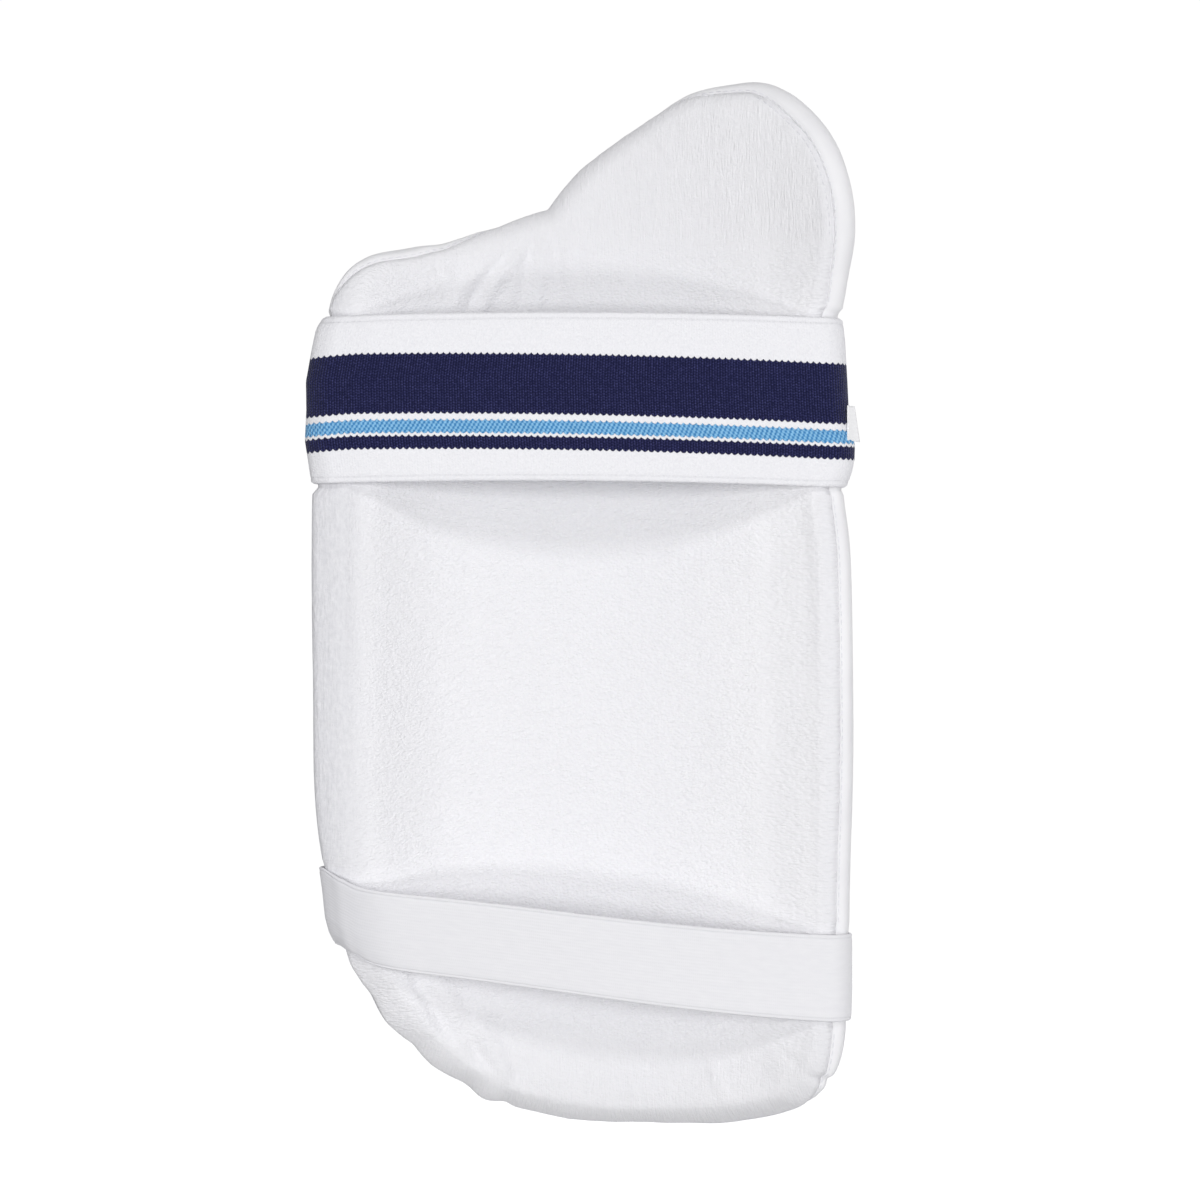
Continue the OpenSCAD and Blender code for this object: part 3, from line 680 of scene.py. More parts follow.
def stitches(name, lines, pitch, length, width, height):
    """Rows of thread stitches. Each line is (points, normals) along which they lie."""
    ring = [(math.cos(a), math.sin(a)) for a in np.linspace(0, 2 * math.pi, 7)[:-1]]
    rows = [(-1, 0.25), (-0.82, 0.75), (-0.4, 1.0), (0.4, 1.0), (0.82, 0.75), (1, 0.25)]
    co, faces = [], []
    for pts, nor in lines:
        s = np.concatenate([[0], np.cumsum(np.linalg.norm(np.diff(pts, axis=0), axis=1))])
        if s[-1] < length:
            continue
        count = max(1, int(round(s[-1] / pitch)))
        for c in (np.arange(count) + 0.5) * s[-1] / count:
            ends = [np.array([np.interp(c + d, s, pts[:, i]) for i in range(3)]) for d in (-length / 2, length / 2)]
            n = np.array([np.interp(c, s, nor[:, i]) for i in range(3)])
            mid, d = (ends[0] + ends[1]) / 2, ends[1] - ends[0]
            if np.linalg.norm(d) < length * 0.4:
                continue
            d = d / np.linalg.norm(d)
            n = n - d * (n @ d)
            n /= np.linalg.norm(n)
            b = np.cross(d, n)
            base = len(co)
            for along_, size in rows:
                for cs, sn in ring:
                    co.append(mid + d * along_ * length / 2 + b * cs * width / 2 * size + n * sn * height / 2 * size)
            m = len(ring)
            for j in range(len(rows) - 1):
                for i in range(m):
                    a, a2 = base + j * m + i, base + j * m + (i + 1) % m
                    faces.append((a, a2, a2 + m, a + m))
            faces.append(tuple(base + i for i in reversed(range(m))))
            faces.append(tuple(base + (len(rows) - 1) * m + i for i in range(m)))
    ob = make_mesh(name, np.array(co), faces)
    recalc(ob)
    return ob


def line_on_face(u, v, w, up=1.0):
    pts = bend(u, v, w)
    nor = bend(u, v, w + 1) - bend(u, v, w)
    return pts, nor * up


def box_lines(spec, side, s0, s1, t0, t1, o, cross=True, lift_side=1.0):
    """A rectangle of stitching with a cross in it."""
    def seg(a, b):
        k = np.linspace(0, 1, 40)
        s, t = a[0] + (b[0] - a[0]) * k, a[1] + (b[1] - a[1]) * k
        p = np.array([on_plate(spec, side, si, np.array([ti]), o)[0] for si, ti in zip(s, t)])
        q = np.array([on_plate(spec, side, si, np.array([ti]), o + 1)[0] for si, ti in zip(s, t)])
        return p, (q - p) * lift_side
    c = [(s0, t0), (s1, t0), (s1, t1), (s0, t1)]
    out = [seg(c[i], c[(i + 1) % 4]) for i in range(4)]
    if cross:
        out += [seg(c[0], c[2]), seg(c[1], c[3])]
    return out


# ------------------------------------------------------------------ materials
class Nodes:
    """Short names for shader nodes."""

    def __init__(self, name):
        self.mat = bpy.data.materials.new(name)
        self.mat.use_nodes = True
        self.nt = self.mat.node_tree
        self.bsdf = self.nt.nodes["Principled BSDF"]
        self.out = self.nt.nodes["Material Output"]

    def new(self, kind, **kw):
        n = self.nt.nodes.new(kind)
        for k, v in kw.items():
            setattr(n, k, v)
        return n

    def put(self, socket, value):
        if hasattr(value, "is_output") or isinstance(value, bpy.types.NodeSocket):
            self.nt.links.new(value, socket)
        else:
            socket.default_value = value

    def attr(self, name="flat"):
        n = self.new("ShaderNodeAttribute", attribute_name=name)
        return n.outputs["Vector"]

    def xyz(self, vec):
        n = self.new("ShaderNodeSeparateXYZ")
        self.put(n.inputs[0], vec)
        return n.outputs

    def combine(self, x, y, z=0.0):
        n = self.new("ShaderNodeCombineXYZ")
        for i, v in enumerate((x, y, z)):
            self.put(n.inputs[i], v)
        return n.outputs[0]

    def m(self, op, a, b=0.0, c=0.0, clamp=False):
        n = self.new("ShaderNodeMath", operation=op, use_clamp=clamp)
        for i, v in enumerate((a, b, c)):
            self.put(n.inputs[i], v)
        return n.outputs[0]

    def scale(self, vec, s):
        n = self.new("ShaderNodeVectorMath", operation="MULTIPLY")
        self.put(n.inputs[0], vec)
        self.put(n.inputs[1], s)
        return n.outputs[0]

    def noise(self, vec, scale, detail=2.0, rough=0.5, distortion=0.0):
        n = self.new("ShaderNodeTexNoise")
        self.put(n.inputs["Vector"], vec)
        n.inputs["Scale"].default_value = scale
        n.inputs["Detail"].default_value = detail
        n.inputs["Roughness"].default_value = rough
        n.inputs["Distortion"].default_value = distortion
        return n.outputs["Fac"]

    def voronoi(self, vec, scale, feature="F1", rnd=1.0):
        n = self.new("ShaderNodeTexVoronoi", feature=feature)
        self.put(n.inputs["Vector"], vec)
        n.inputs["Scale"].default_value = scale
        n.inputs["Randomness"].default_value = rnd
        return n.outputs["Distance"]

    def remap(self, v, a, b, c=0.0, d=1.0, smooth=False):
        n = self.new("ShaderNodeMapRange", clamp=True, interpolation_type="SMOOTHSTEP" if smooth else "LINEAR")
        self.put(n.inputs[0], v)
        for i, x in enumerate((a, b, c, d)):
            self.put(n.inputs[i + 1], x)
        return n.outputs[0]

    def mix(self, fac, a, b, blend="MIX"):
        n = self.new("ShaderNodeMix", data_type="RGBA", blend_type=blend)
        self.put(n.inputs[0], fac)
        self.put(n.inputs[6], a)
        self.put(n.inputs[7], b)
        return n.outputs[2]

    def bump(self, height, distance, strength=1.0, normal=None):
        n = self.new("ShaderNodeBump")
        n.inputs["Strength"].default_value = strength
        n.inputs["Distance"].default_value = distance
        self.put(n.inputs["Height"], height)
        if normal is not None:
            self.put(n.inputs["Normal"], normal)
        return n.outputs[0]

    def finish(self, colour, rough, normal=None, sheen=0.0, sheen_rough=0.5, spec=0.3):
        self.put(self.bsdf.inputs["Base Color"], colour)
        self.put(self.bsdf.inputs["Roughness"], rough)
        self.bsdf.inputs["Sheen Weight"].default_value = sheen
        self.bsdf.inputs["Sheen Roughness"].default_value = sheen_rough
        self.bsdf.inputs["Specular IOR Level"].default_value = spec
        if normal is not None:
            self.put(self.bsdf.inputs["Normal"], normal)
        return self.mat


def rgb(r, g, b):
    return (r, g, b, 1.0)


def mat_towelling():
    n = Nodes("towelling")
    p = n.attr()
    x, y, z = n.xyz(p)
    # the middle is knitted in short dashes that lie across the pad and climb a little to the right
    up = n.m("SUBTRACT", y, n.m("MULTIPLY", x, 0.10))
    wander = n.m("MULTIPLY", n.noise(n.scale(p, (0.10, 0.12, 0.0)), 1.0, 2.0), 1.0)
    dash = n.voronoi(n.combine(n.m("MULTIPLY", x, 0.66), n.m("ADD", n.m("MULTIPLY", up, 1.10), wander)), 1.0, rnd=0.85)
    dash2 = n.voronoi(n.combine(n.m("MULTIPLY", x, 0.30), n.m("ADD", n.m("MULTIPLY", up, 0.62), wander)), 1.0)
    # finer rows towards the right, fine upright ribs over the lobe, the bottom and the left rim
    fine = n.voronoi(n.combine(n.m("MULTIPLY", x, 0.38), n.m("MULTIPLY", y, 1.0)), 1.0, rnd=0.8)
    streak = n.noise(n.scale(p, (1.5, 0.20, 0.0)), 0.9, 4.0, 0.62)
    streak2 = n.noise(n.scale(p, (0.55, 0.10, 0.0)), 0.8, 3.0, 0.55)
    lobe = n.remap(y, 128.0, 158.0, 0.0, 1.0, True)
    bottom = n.remap(y, -172.0, -190.0, 0.0, 0.8, True)
    left = n.remap(x, -97.0, -119.0, 0.0, 1.0, True)
    brushed = n.m("MAXIMUM", n.m("MAXIMUM", lobe, bottom), left)
    right = n.remap(x, 76.0, 90.0, 0.0, 1.0, True)
    tuft = n.m("ADD", n.m("SUBTRACT", 1.0, dash), n.m("MULTIPLY", n.m("SUBTRACT", 1.0, dash2), 0.4))
    rows = n.m("MULTIPLY", n.m("SUBTRACT", 1.0, fine), 1.1)
    loops = n.m("ADD", n.m("MULTIPLY", tuft, n.m("SUBTRACT", 1.0, right)), n.m("MULTIPLY", rows, right))
    ribs = n.m("ADD", n.m("MULTIPLY", streak, 1.9), n.m("MULTIPLY", streak2, 1.3))
    keep = n.m("SUBTRACT", 1.0, n.m("MULTIPLY", brushed, 0.72))
    height = n.m("ADD", n.m("MULTIPLY", loops, keep), n.m("MULTIPLY", ribs, n.remap(brushed, 0.0, 1.0, 0.12, 0.75)))
    height = n.m("ADD", height, n.m("MULTIPLY", n.noise(p, 2.4, 3.0), 0.35))
    normal = n.bump(height, 0.00050, 0.85)
    # painted shade: the towelling's colour is darker where the pile is low, in the hollows between loops
    shade = n.remap(height, 0.7, 2.1, 0.0, 1.0)
    base = n.mix(shade, rgb(0.885, 0.88, 0.91), rgb(0.965, 0.96, 0.98))
    # painted light: the inner face is painted lighter towards the right, to offset the shade it takes there as it faces
    # left
    base = n.mix(n.m("MULTIPLY", n.remap(x, 50.0, 85.0, 0.0, 0.55, True), n.remap(z, -4.0, 3.0)), base, rgb(0.97, 0.965, 0.985))
    patch = n.noise(p, 0.028, 3.0, 0.55)
    base = n.mix(n.remap(patch, 0.35, 0.65, 0.0, 0.07), base, rgb(0.85, 0.85, 0.89))
    # the rolled band at the left is lumpier, and painted greyer as shade where it turns away from the light
    left_band_shade = n.m("MULTIPLY", left, n.remap(n.noise(n.scale(p, (0.75, 0.30, 0.0)), 1.0, 3.0, 0.6), 0.3, 0.7, 0.50, 0.95))
    base = n.mix(left_band_shade, base, rgb(0.70, 0.70, 0.735))
    # painted shade: the lobe and the bottom, which tilt away from the light, are painted a little darker
    turned = n.m("MAXIMUM", n.remap(y, 114.0, 138.0, 0.0, 0.27, True), n.remap(y, -158.0, -176.0, 0.0, 0.22, True))
    base = n.mix(turned, base, rgb(0.72, 0.72, 0.75))
    # painted shade: a touch darker down the middle, evening out the fuller light it takes compared with the sides
    base = n.mix(n.remap(n.m("ABSOLUTE", n.m("SUBTRACT", x, 6.0)), 20.0, 70.0, 0.15, 0.0, True), base, rgb(0.72, 0.72, 0.75))
    # painted shade: darker where it turns over the right-hand rim, away from the light
    over = n.m("MULTIPLY", n.remap(z, 3.0, -4.0, 0.0, 0.30, True), n.remap(x, 40.0, 70.0, 0.0, 1.0, True))
    base = n.mix(over, base, rgb(0.72, 0.72, 0.75))
    return n.finish(base, 0.96, normal, sheen=0.2, sheen_rough=0.6, spec=0.1)


def mat_cover():
    n = Nodes("cover_cloth")
    p = n.attr()
    x, y, z = n.xyz(p)
    wx = n.m("SINE", n.m("MULTIPLY", x, 11.5))
    wy = n.m("SINE", n.m("MULTIPLY", y, 11.5))
    weave = n.m("MULTIPLY", n.m("MULTIPLY", wx, wy), 0.5)
    soft = n.noise(p, 0.12, 3.0)
    height = n.m("ADD", weave, n.m("MULTIPLY", soft, 2.2))
    normal = n.bump(height, 0.00010, 0.5)
    base = n.mix(n.remap(n.noise(p, 0.05, 2.0), 0.3, 0.7), rgb(0.835, 0.832, 0.855), rgb(0.875, 0.872, 0.89))
    return n.finish(base, n.remap(soft, 0.3, 0.7, 0.58, 0.70), normal, sheen=0.1, spec=0.3)


def mat_waist():
    n = Nodes("waist_elastic")
    p = n.attr()
    s, q, side = n.xyz(p)
    # rows slope a little, as the band is pulled round, and droop at its left end
    q0 = n.m("ADD", q, n.m("MULTIPLY", n.m("SUBTRACT", s, 182.0), -0.0125))
    q0 = n.m("ADD", q0, n.remap(s, 262.0, 296.0, 0.0, 2.0, True))
    scallop = n.m("ABSOLUTE", n.m("SINE", n.m("MULTIPLY", s, math.pi / 2.6)))
    fine = n.noise(n.combine(n.m("MULTIPLY", s, 1.6), n.m("MULTIPLY", q, 0.7)), 1.0, 2.0)
    qq = n.m("ADD", q0, n.m("ADD", n.m("MULTIPLY", scallop, 0.85), n.m("MULTIPLY", fine, 0.45)))

    def between(lo, hi, soft=0.16):
        a = n.remap(qq, lo - soft, lo + soft, 0.0, 1.0)
        b = n.remap(qq, hi - soft, hi + soft, 1.0, 0.0)
        return n.m("MULTIPLY", a, b)

    navy_a = between(28.4, 53.2)
    sky = between(20.3, 25.6)
    navy_b = between(13.7, 19.0)
    navy = n.m("MAXIMUM", navy_a, navy_b)
    colour = n.m("MAXIMUM", navy, sky)
    white = n.m("SUBTRACT", 1.0, colour, clamp=True)
    # knitted columns: a chain of slanting stitches up each
    col = n.m("SINE", n.m("MULTIPLY", s, 2 * math.pi / 1.1))
    slant = n.m("MULTIPLY", n.m("SIGN", n.m("SINE", n.m("MULTIPLY", s, math.pi / 1.1))), 1.1)
    row = n.m("SINE", n.m("ADD", n.m("MULTIPLY", q, 2 * math.pi / 1.15), slant))
    knit = n.m("ADD", n.m("MULTIPLY", col, 0.55), n.m("MULTIPLY", row, 0.45))
    cell = n.voronoi(n.combine(n.m("MULTIPLY", s, 0.95), n.m("MULTIPLY", q, 0.9)), 1.0, rnd=0.6)
    knit = n.m("ADD", knit, n.m("MULTIPLY", n.m("SUBTRACT", 0.5, cell), 1.1))
    # the pale blue row is laid in slanting strokes
    stroke = n.m("SINE", n.m("ADD", n.m("MULTIPLY", s, 2 * math.pi / 1.9), n.m("MULTIPLY", q, 2.0)))
    stroke = n.m("ADD", stroke, n.m("MULTIPLY", n.m("SINE", n.m("SUBTRACT", n.m("MULTIPLY", s, 2 * math.pi / 1.9), n.m("MULTIPLY", q, 3.4))), 0.7))
    stroke = n.m("ADD", stroke, n.m("MULTIPLY", n.m("SUBTRACT", n.noise(p, 1.3, 2.0), 0.5), 2.4))
    brushed = n.m("ADD", n.m("MULTIPLY", n.noise(p, 1.1, 4.0, 0.6), 2.0), n.m("MULTIPLY", n.m("SUBTRACT", 1.0, n.voronoi(p, 0.8)), 0.6))
    # faint rows where the band folds over at each edge
    hem_top = n.remap(n.m("ABSOLUTE", n.m("SUBTRACT", q, 67.3)), 0.0, 0.55, 1.0, 0.0)
    hem_bot = n.remap(n.m("ABSOLUTE", n.m("SUBTRACT", q, 2.4)), 0.0, 0.5, 1.0, 0.0)
    hem = n.m("MAXIMUM", hem_top, hem_bot)
    height = n.m("ADD", n.m("MULTIPLY", knit, n.remap(white, 0.0, 1.0, 1.0, 0.22)), n.m("MULTIPLY", brushed, n.remap(white, 0.0, 1.0, 0.1, 0.8)))
    height = n.m("SUBTRACT", height, n.m("MULTIPLY", hem, 1.0))
    height = n.m("ADD", height, n.m("MULTIPLY", white, 0.5))
    normal = n.bump(height, 0.00026, 0.8)
    fleck = n.m("MULTIPLY", n.remap(knit, -0.4, 1.1), n.remap(n.noise(p, 1.5, 2.0), 0.3, 0.7, 0.15, 1.0))
    navy_c = n.mix(fleck, rgb(0.0062, 0.0075, 0.041), rgb(0.060, 0.063, 0.195))
    sky_c = n.mix(n.remap(stroke, -0.9, 0.9), rgb(0.065, 0.26, 0.56), rgb(0.27, 0.57, 0.86))
    white_c = n.mix(n.remap(brushed, 0.9, 2.1), rgb(0.83, 0.828, 0.862), rgb(0.915, 0.912, 0.94))
    # painted shade: the fold rows at each edge are painted darker
    white_c = n.mix(n.m("MULTIPLY", hem, 0.16), white_c, rgb(0.66, 0.66, 0.70))
    c = n.mix(sky, white_c, sky_c)
    c = n.mix(navy, c, navy_c)
    return n.finish(c, 0.92, normal, sheen=0.12, sheen_rough=0.5, spec=0.12)


def mat_thigh():
    n = Nodes("thigh_elastic")
    p = n.attr()
    s, q, side = n.xyz(p)
    rib = n.m("SINE", n.m("MULTIPLY", q, 2 * math.pi / 1.35))
    cross = n.m("SINE", n.m("MULTIPLY", s, 2 * math.pi / 0.8))
    soft = n.noise(n.scale(p, (0.3, 1.0, 0.0)), 0.5, 3.0)
    welt = n.m("MAXIMUM", n.remap(n.m("ABSOLUTE", n.m("SUBTRACT", q, 1.3)), 0.0, 0.5, 1.0, 0.0),
               n.remap(n.m("ABSOLUTE", n.m("SUBTRACT", q, 32.5)), 0.0, 0.5, 1.0, 0.0))
    height = n.m("ADD", n.m("MULTIPLY", rib, 0.20), n.m("ADD", n.m("MULTIPLY", cross, 0.12), n.m("MULTIPLY", soft, 0.8)))
    height = n.m("SUBTRACT", height, n.m("MULTIPLY", welt, 1.6))
    normal = n.bump(height, 0.00012, 0.7)
    base = n.mix(n.remap(soft, 0.3, 0.7), rgb(0.785, 0.782, 0.81), rgb(0.81, 0.807, 0.832))
    # painted shade: darker along the welt grooves
    base = n.mix(n.m("MULTIPLY", welt, 0.14), base, rgb(0.50, 0.50, 0.54))
    # painted shade: darker towards the left end, where the strap wraps round the rim away from the light
    base = n.mix(n.remap(s, 238.0, 268.0, 0.0, 0.26, True), base, rgb(0.58, 0.58, 0.62))
    return n.finish(base, 0.72, normal, sheen=0.1, spec=0.25)


def mat_plain(name, lo, hi, scale, bump, rough, kind="noise", sheen=0.0, stretch=(1.0, 1.0, 1.0), coords="attr"):
    n = Nodes(name)
    if coords == "attr":
        p = n.attr()
    else:
        tc = n.new("ShaderNodeTexCoord")
        p = n.scale(tc.outputs["Object"], (1000.0, 1000.0, 1000.0))
    p = n.scale(p, stretch)
    if kind == "noise":
        h = n.noise(p, scale, 4.0, 0.6)
        f = n.remap(h, 0.3, 0.7)
    elif kind == "cells":
        h = n.voronoi(p, scale)
        f = n.remap(h, 0.1, 0.7)
    else:
        h = n.m("SUBTRACT", 1.0, n.voronoi(p, scale, rnd=0.15))
        f = n.remap(h, 0.3, 1.0)
    base = n.mix(f, lo, hi)
    return n.finish(base, rough, n.bump(h, bump, 0.8), sheen=sheen, spec=0.25)


M_TOWEL = mat_towelling()
M_COVER = mat_cover()
M_WAIST = mat_waist()
M_THIGH = mat_thigh()
M_THREAD = mat_plain("thread", rgb(0.70, 0.70, 0.74), rgb(0.88, 0.88, 0.91), 2.2, 0.00015, 0.6, stretch=(1.0, 1.0, 1.0), coords="object")
M_HOOK = mat_plain("hook_tape", rgb(0.62, 0.62, 0.65), rgb(0.86, 0.86, 0.88), 0.75, 0.0006, 0.55, "hooks")
M_LOOP = mat_plain("loop_tape", rgb(0.72, 0.72, 0.75), rgb(0.87, 0.87, 0.89), 0.9, 0.0005, 0.95, "noise", sheen=0.3)
M_BIND = mat_plain("binding_tape", rgb(0.80, 0.80, 0.83), rgb(0.88, 0.88, 0.905), 1.4, 0.0002, 0.7, stretch=(1.0, 3.0, 1.0))
M_LABEL = mat_plain("label_tape", rgb(0.94, 0.94, 0.96), rgb(0.97, 0.97, 0.98), 3.0, 0.00005, 0.5, stretch=(1.0, 3.0, 1.0))
M_COMFORT = mat_plain("comfort_foam", rgb(0.78, 0.76, 0.68), rgb(0.92, 0.91, 0.84), 0.9, 0.0004, 0.9, "cells")
M_IMPACT = mat_plain("impact_foam", rgb(0.42, 0.56, 0.70), rgb(0.52, 0.66, 0.79), 1.5, 0.0002, 0.85, "cells")


def dress(ob, mat):
    ob.data.materials.clear()
    ob.data.materials.append(mat)
    return ob


# ------------------------------------------------------------------ pad skins
lining = dress(skin("towelling", -1), M_TOWEL)
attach(lining, "pad"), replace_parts(lining, "towel_lining"), lining, lining
cover = dress(skin("outer_shell_cloth", 1), M_COVER)
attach(cover, "pad"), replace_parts(cover, "outer_cover"), cover, cover


# ------------------------------------------------------------------ foam inside
def foam(name, node, ring, low, high, mat, step, edge):
    ob = dress(slab(name, ring, low, high, step, edge), mat)
    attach(ob, "pad"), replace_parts(ob, node), ob, ob


comfort_ring = FLAT - OUT * (RIM + 1.6)
comfort_ring = comfort_ring[::2]


def comfort_low(u, v):
    d, k = nearest(np.stack([u, v], 1), INSET)
    return -(6.5 + face_in(u, v) * smooth_step(d / 7.0) + SWELL[k] * swell(RIM + d))


foam("comfort_foam_sheet", "comfort_foam", comfort_ring, comfort_low, lambda u, v: np.full(len(u), -1.0), M_COMFORT, 3.2, 2.4)
BLOCKS = {
    "upper_left": [[-109, 48], [-42, 48], [-42, 146], [-95, 132]],
    "upper_centre": [[-38, 48], [38, 48], [38, 150], [-38, 146]],
    "upper_right": [[42, 48], [106, 48], [107, 150], [42, 150]],
    "middle_left": [[-110, -68], [-42, -68], [-42, 44], [-110, 44]],
    "middle_centre": [[-38, -68], [38, -68], [38, 44], [-38, 44]],
    "middle_right": [[42, -68], [108, -68], [106, 44], [42, 44]],
    "lower_left": [[-62, -176], [-42, -190], [-42, -72], [-108, -72]],
    "lower_centre": [[-38, -192], [38, -206], [38, -72], [-38, -72]],
    "lower_right": [[42, -205], [94, -196], [107, -72], [42, -72]],
    "hip": [[12, 154], [106, 154], [94, 192], [44, 198]],
}
for key, corners in BLOCKS.items():
    foam(f"block_{key}", f"impact_foam_{key}", rounded(corners), lambda u, v: np.full(len(u), -0.7), lambda u, v: h_out(u, v) + face_out(u, v) - 1.7, M_IMPACT, 3.2, 2.6)


# ------------------------------------------------------------------ straps
def build_strap(key, spec, height, mat, dips, ripple):
    pin, pout, kind, length, t, _ = strap_path(spec)
    first = np.where(kind == 2)[0][0]
    mid = first + np.sum(kind == 2) // 2
    share = band(height, spec["thick"], dips)
    a = ribbon(f"{key}_strap_sewn_half", pin[:mid + 1], pout[:mid + 1], length[:mid + 1], t, height, share, ripple=ripple, end_round=(0.9, 0))
    b = ribbon(f"{key}_strap_free_half", pin[mid:], pout[mid:], length[mid:], t, height, share, ripple=ripple, end_round=(0, 0.9))
    for ob, l in ((a, length[mid] - length[0]), (b, length[-1] - length[mid])):
        dress(ob, mat)
        print("flat", ob.name, round(height, 1), round(float(l), 1))
    return a, b, float(length[mid] - length[0]), float(length[-1] - length[mid])


def waist_ripple(length, across):
    d = 0.12 * vnoise(length[:, None] / 30, across[None] * 2.0, 41) + 0.05 * vnoise(length[:, None] / 6, across[None] * 9, 42)
    # the knitted edges wave a little
    rim = np.exp(-np.minimum(across, 1 - across) * 70 / 2.0)
    return d + 0.10 * rim[None] * vnoise(length[:, None] / 3.0, across[None] * 0 + 5.5, 44)


def thigh_ripple(length, across):
    return 0.14 * vnoise(length[:, None] / 34, across[None] * 1.5, 43)


w_a, w_b, w_la, w_lb = build_strap("waist", WAIST, WAIST_H, M_WAIST, [(67.3, 0.6, 0.3), (2.4, 0.5, 0.25)], waist_ripple)
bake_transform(w_a)
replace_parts(w_a, "waist_strap_anchor", "waist_strap_span")
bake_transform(w_b)
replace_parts(w_b, "waist_strap_wrap", "waist_strap_tab", "waist_strap_span")
t_a, t_b, t_la, t_lb = build_strap("thigh", THIGH, THIGH_H, M_THIGH, [(1.3, 0.4, 0.4), (32.5, 0.4, 0.4)], thigh_ripple)
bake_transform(t_a)
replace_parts(t_a, "thigh_strap_anchor", "thigh_strap_span")
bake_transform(t_b)
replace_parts(t_b, "thigh_strap_wrap", "thigh_strap_tab", "thigh_strap_span")


# ------------------------------------------------------------------ tapes, bindings, stitching, label
def place(ob, body, nodes, slot_name, mat):
    dress(ob, mat)
    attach(ob, body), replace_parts(ob, *nodes), ob
    return ob


place(face_plate("waist_loop_pile", WAIST, -1, 34, 128, 0.06, 0.94, -0.2, 1.4), "pad", ["waist_loop_patch"], "loop_tape", M_LOOP)
place(face_plate("thigh_loop_pile", THIGH, -1, 34, 106, 0.09, 0.91, -0.2, 1.4), "pad", ["thigh_loop_patch"], "loop_tape", M_LOOP)
place(face_plate("waist_hook_tape", WAIST, -1, 50, 106, 0.06, 0.94, 2.0, 3.75), "waist_tab", ["waist_hook_patch"], "hook_tape", M_HOOK)
place(face_plate("thigh_hook_tape", THIGH, -1, 46, 86, 0.09, 0.91, 2.0, 3.75), "thigh_tab", ["thigh_hook_patch"], "hook_tape", M_HOOK)
place(face_plate("waist_end_binding", WAIST, -1, 108, 117.5, -0.01, 1.01, 2.2, 6.1), "waist_tab", ["waist_tab_binding"], "waist_elastic", M_BIND)
place(face_plate("thigh_end_binding", THIGH, -1, 88, 97.5, -0.015, 1.015, 2.2, 5.6), "thigh_tab", ["thigh_tab_binding"], "thigh_elastic", M_BIND)


def runs(keep):
    """Stretches of True round a closed ring of flags."""
    n = len(keep)
    if keep.all():
        return [np.arange(n + 1) % n]
    start = np.where(~keep)[0][0]
    out, now = [], []
    for i in (np.arange(n) + start) % n:
        if keep[i]:
            now.append(i)
        elif now:
            out.append(np.array(now))
            now = []
    if now:
        out.append(np.array(now))
    return [r for r in out if len(r) > 3]


def seam_row(turn, side):
    """A line on the rim beside the seam, on one skin, with its normals."""
    k = np.arange(NR).astype(float)
    f = SEAM + side * turn
    arc = math.radians(turn) * RIM
    turned = np.abs(f - 90.0 * side) * np.pi / 180 * RIM
    pk = puckers(k) * np.exp(-arc / 5.0) * (0.36 if side < 0 else 0.27) * np.clip(turned / 5, 0, 1) * np.clip(arc / 1.2, 0, 1)
    e = 1.5 * np.exp(-(arc / 1.5) ** 1.6) - pk
    more = (-0.44 if side < 0 else 0.2) * puckers(k) * np.exp(-turned / 5.0)
    q, w = rim_row(f, e - 0.1)
    q2, w2 = rim_row(f, e - 1.1)
    p = bend(q[:, 0], q[:, 1], w + more)
    return p, bend(q2[:, 0], q2[:, 1], w2 + more) - p


ex, ez = EDGE[:, 0], EDGE[:, 1]
under = (np.abs(ez - 84) < 38) & (np.abs(ex) > 88)
under |= (ex < 0) & (np.abs(ez + 124) < 20) & (ez > -160) & (np.abs(ex) > 80)
under |= (ex > 0) & (np.abs(ez + 153) < 21) & (np.abs(ex) > 88)
rim_lines = []
for side, turn, keep in ((1, 5.5, ~under), (-1, 12.8, ~under & (ex > 50) & (ez > 150) & (ez < 216))):
    p, nrm = seam_row(turn, side)
    rim_lines += [(p[r], nrm[r]) for r in runs(keep)]
place(stitches("seam_thread", rim_lines, 3.4, 2.3, 0.45, 0.4), "pad", ["edge_seam_stitching"], "thread", M_THREAD)

lines = []
for u, v in [(np.full(400, c), np.linspace(-206, 206, 400)) for c in (-40.0, 40.0)] + [(np.linspace(-112, 112, 300), np.full(300, c)) for c in (46.0, -70.0)] + [(np.linspace(8, 110, 200), np.full(200, 152.0))]:
    q = np.stack([u, v], 1)
    d, k = nearest(q, INSET)
    keep = inside(q, INSET) & (d > 5) & (sewn_over(u, v) < 0.02)
    w = outer_face(q, d, k) + 0.12
    edge = np.concatenate([[0], np.where(np.diff(keep.astype(int)) != 0)[0] + 1, [len(keep)]])
    for a, b in zip(edge[:-1], edge[1:]):
        if keep[a] and b - a > 5:
            lines.append(line_on_face(u[a:b], v[a:b], w[a:b]))
place(stitches("channel_thread", lines, 5.0, 3.6, 0.6, 0.5), "pad", ["channel_stitching"], "thread", M_THREAD)
place(stitches("waist_hook_thread", box_lines(WAIST, -1, 52, 104, 0.07, 0.93, 5.72), 3.4, 2.5, 0.5, 0.45), "waist_tab", ["waist_hook_stitching"], "thread", M_THREAD)
place(stitches("thigh_hook_thread", box_lines(THIGH, -1, 48, 84, 0.12, 0.88, 5.22), 3.4, 2.5, 0.5, 0.45), "thigh_tab", ["thigh_hook_stitching"], "thread", M_THREAD)
place(stitches("waist_sewn_thread", box_lines(WAIST, 1, 8, 42, 0.07, 0.93, 2.25), 3.4, 2.5, 0.5, 0.45), "pad", ["waist_anchor_stitching"], "thread", M_THREAD)
place(stitches("thigh_sewn_thread", box_lines(THIGH, 1, 8, 36, 0.12, 0.88, 1.75), 3.4, 2.5, 0.5, 0.45), "pad", ["thigh_anchor_stitching"], "thread", M_THREAD)


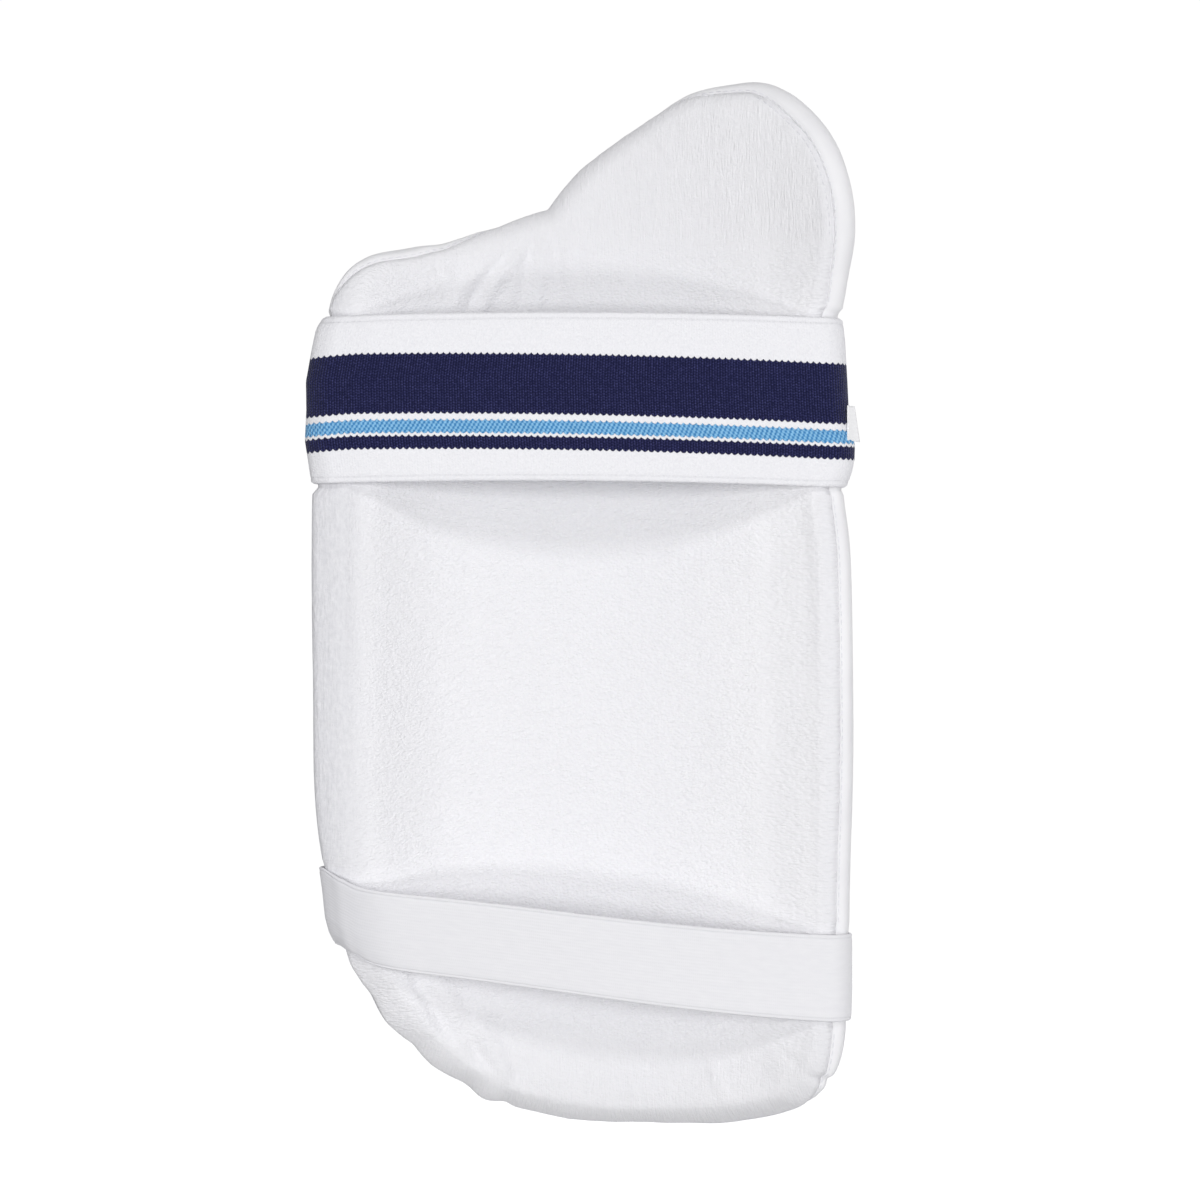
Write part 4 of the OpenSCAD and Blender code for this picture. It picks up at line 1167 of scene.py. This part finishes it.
def tag():
    """A blank folded tape sewn in at the right rim, just showing beside the strap."""
    rows, cols = 15, 13
    co, at = [], []
    for j in range(rows):
        h = j / (rows - 1)
        z = 67.6 + 14.4 * h
        reach = 1.0 - 0.42 * h
        for i in range(cols):
            g = i / (cols - 1) * reach
            x = 108.6 + 5.5 * g
            y = -9.3 + 6.8 * g + 0.5 * math.sin(g * 3.1) + 0.2 * math.sin(h * 5.0)
            co.append((x, y, z - 0.4 * g)), at.append((g * 9, z, 1))
    faces = [(j * cols + i, j * cols + i + 1, (j + 1) * cols + i + 1, (j + 1) * cols + i) for j in range(rows - 1) for i in range(cols - 1)]
    ob = make_mesh("blank_size_tag", co, faces, attrs={"flat": at})
    thick = ob.modifiers.new("thick", "SOLIDIFY")
    thick.thickness, thick.offset = 0.35 * MM, 0
    apply_modifiers(ob)
    return ob


place(tag(), "pad", ["size_label"], "label_tape", M_LABEL)


# ------------------------------------------------------------------ stage and light
floor_me = bpy.data.meshes.new("floor")
bm = bmesh.new()
bmesh.ops.create_circle(bm, cap_ends=True, segments=96, radius=1.2)
bm.to_mesh(floor_me)
bm.free()
floor = bpy.data.objects.new("floor", floor_me)
SCENE.collection.objects.link(floor)
floor.location = (0, 0, CAD_LO.z - 0.0005)
fn = Nodes("floor")
tc = fn.new("ShaderNodeTexCoord")
dist = fn.new("ShaderNodeVectorMath", operation="LENGTH")
fn.nt.links.new(tc.outputs["Object"], dist.inputs[0])
fade = fn.remap(dist.outputs["Value"], 0.25, 0.95, 0.0, 1.0, True)
fn.bsdf.inputs["Base Color"].default_value = (0.93, 0.93, 0.94, 1)
fn.bsdf.inputs["Roughness"].default_value = 0.9
fn.bsdf.inputs["Emission Color"].default_value = (1, 1, 1, 1)
fn.bsdf.inputs["Emission Strength"].default_value = 0.59
tr = fn.new("ShaderNodeBsdfTransparent")
mx = fn.new("ShaderNodeMixShader")
fn.nt.links.new(fade, mx.inputs[0])
fn.nt.links.new(fn.bsdf.outputs[0], mx.inputs[1])
fn.nt.links.new(tr.outputs[0], mx.inputs[2])
fn.nt.links.new(mx.outputs[0], fn.out.inputs[0])
floor_me.materials.append(fn.mat)
floor.visible_shadow = False
floor.visible_diffuse = False


def area(name, direction, dist_m, size, energy, high=None, colour=(1, 1, 1)):
    li = bpy.data.lights.new(name, "AREA")
    li.shape = "SQUARE" if high is None else "RECTANGLE"
    li.size = size
    if high:
        li.size_y = high
    li.energy = energy
    li.color = colour
    ob = bpy.data.objects.new(name, li)
    SCENE.collection.objects.link(ob)
    d = Vector(direction).normalized()
    ob.location = d * dist_m
    ob.rotation_euler = (-d).to_track_quat("-Z", "Y").to_euler()
    return ob


area("fill_front", (0.0, -1.0, 0.02), 2.2, 3.8, 41.2, high=0.8)
area("key_high", (0.06, -0.80, 0.60), 1.6, 0.25, 4.3)
area("key_low", (0.10, -0.88, -0.42), 1.6, 0.24, 3.8)
world = bpy.data.worlds.new("studio")
SCENE.world = world
world.use_nodes = True
wn = world.node_tree
bg = wn.nodes["Background"]
bg.inputs[0].default_value = (0.99, 0.99, 1.0, 1)
way = wn.nodes.new("ShaderNodeTexCoord")
split = wn.nodes.new("ShaderNodeSeparateXYZ")
wn.links.new(way.outputs["Generated"], split.inputs[0])
rise = wn.nodes.new("ShaderNodeMapRange")
for i, value in ((1, -0.35), (2, 0.35), (3, 0.0), (4, 0.80)):
    rise.inputs[i].default_value = value
wn.links.new(split.outputs["Y"], rise.inputs[0])
tilt = wn.nodes.new("ShaderNodeMapRange")
for i, value in ((1, -0.7), (2, 0.5), (3, 0.35), (4, 1.10)):
    tilt.inputs[i].default_value = value
wn.links.new(split.outputs["X"], tilt.inputs[0])
both = wn.nodes.new("ShaderNodeMath")
both.operation = "MULTIPLY"
wn.links.new(rise.outputs[0], both.inputs[0])
wn.links.new(tilt.outputs[0], both.inputs[1])
base = wn.nodes.new("ShaderNodeMath")
base.operation = "ADD"
base.inputs[1].default_value = 0.17
wn.links.new(both.outputs[0], base.inputs[0])
wn.links.new(base.outputs[0], bg.inputs[1])
bg2 = wn.nodes.new("ShaderNodeBackground")
bg2.inputs[0].default_value = (1, 1, 1, 1)
bg2.inputs[1].default_value = 1.02
lp = wn.nodes.new("ShaderNodeLightPath")
mixw = wn.nodes.new("ShaderNodeMixShader")
wn.links.new(lp.outputs["Is Camera Ray"], mixw.inputs[0])
wn.links.new(bg.outputs[0], mixw.inputs[1])
wn.links.new(bg2.outputs[0], mixw.inputs[2])
wn.links.new(mixw.outputs[0], wn.nodes["World Output"].inputs[0])
SCENE.view_settings.view_transform = "Standard"
SCENE.view_settings.look = "None"
SCENE.view_settings.exposure = 0
SCENE.view_settings.gamma = 1
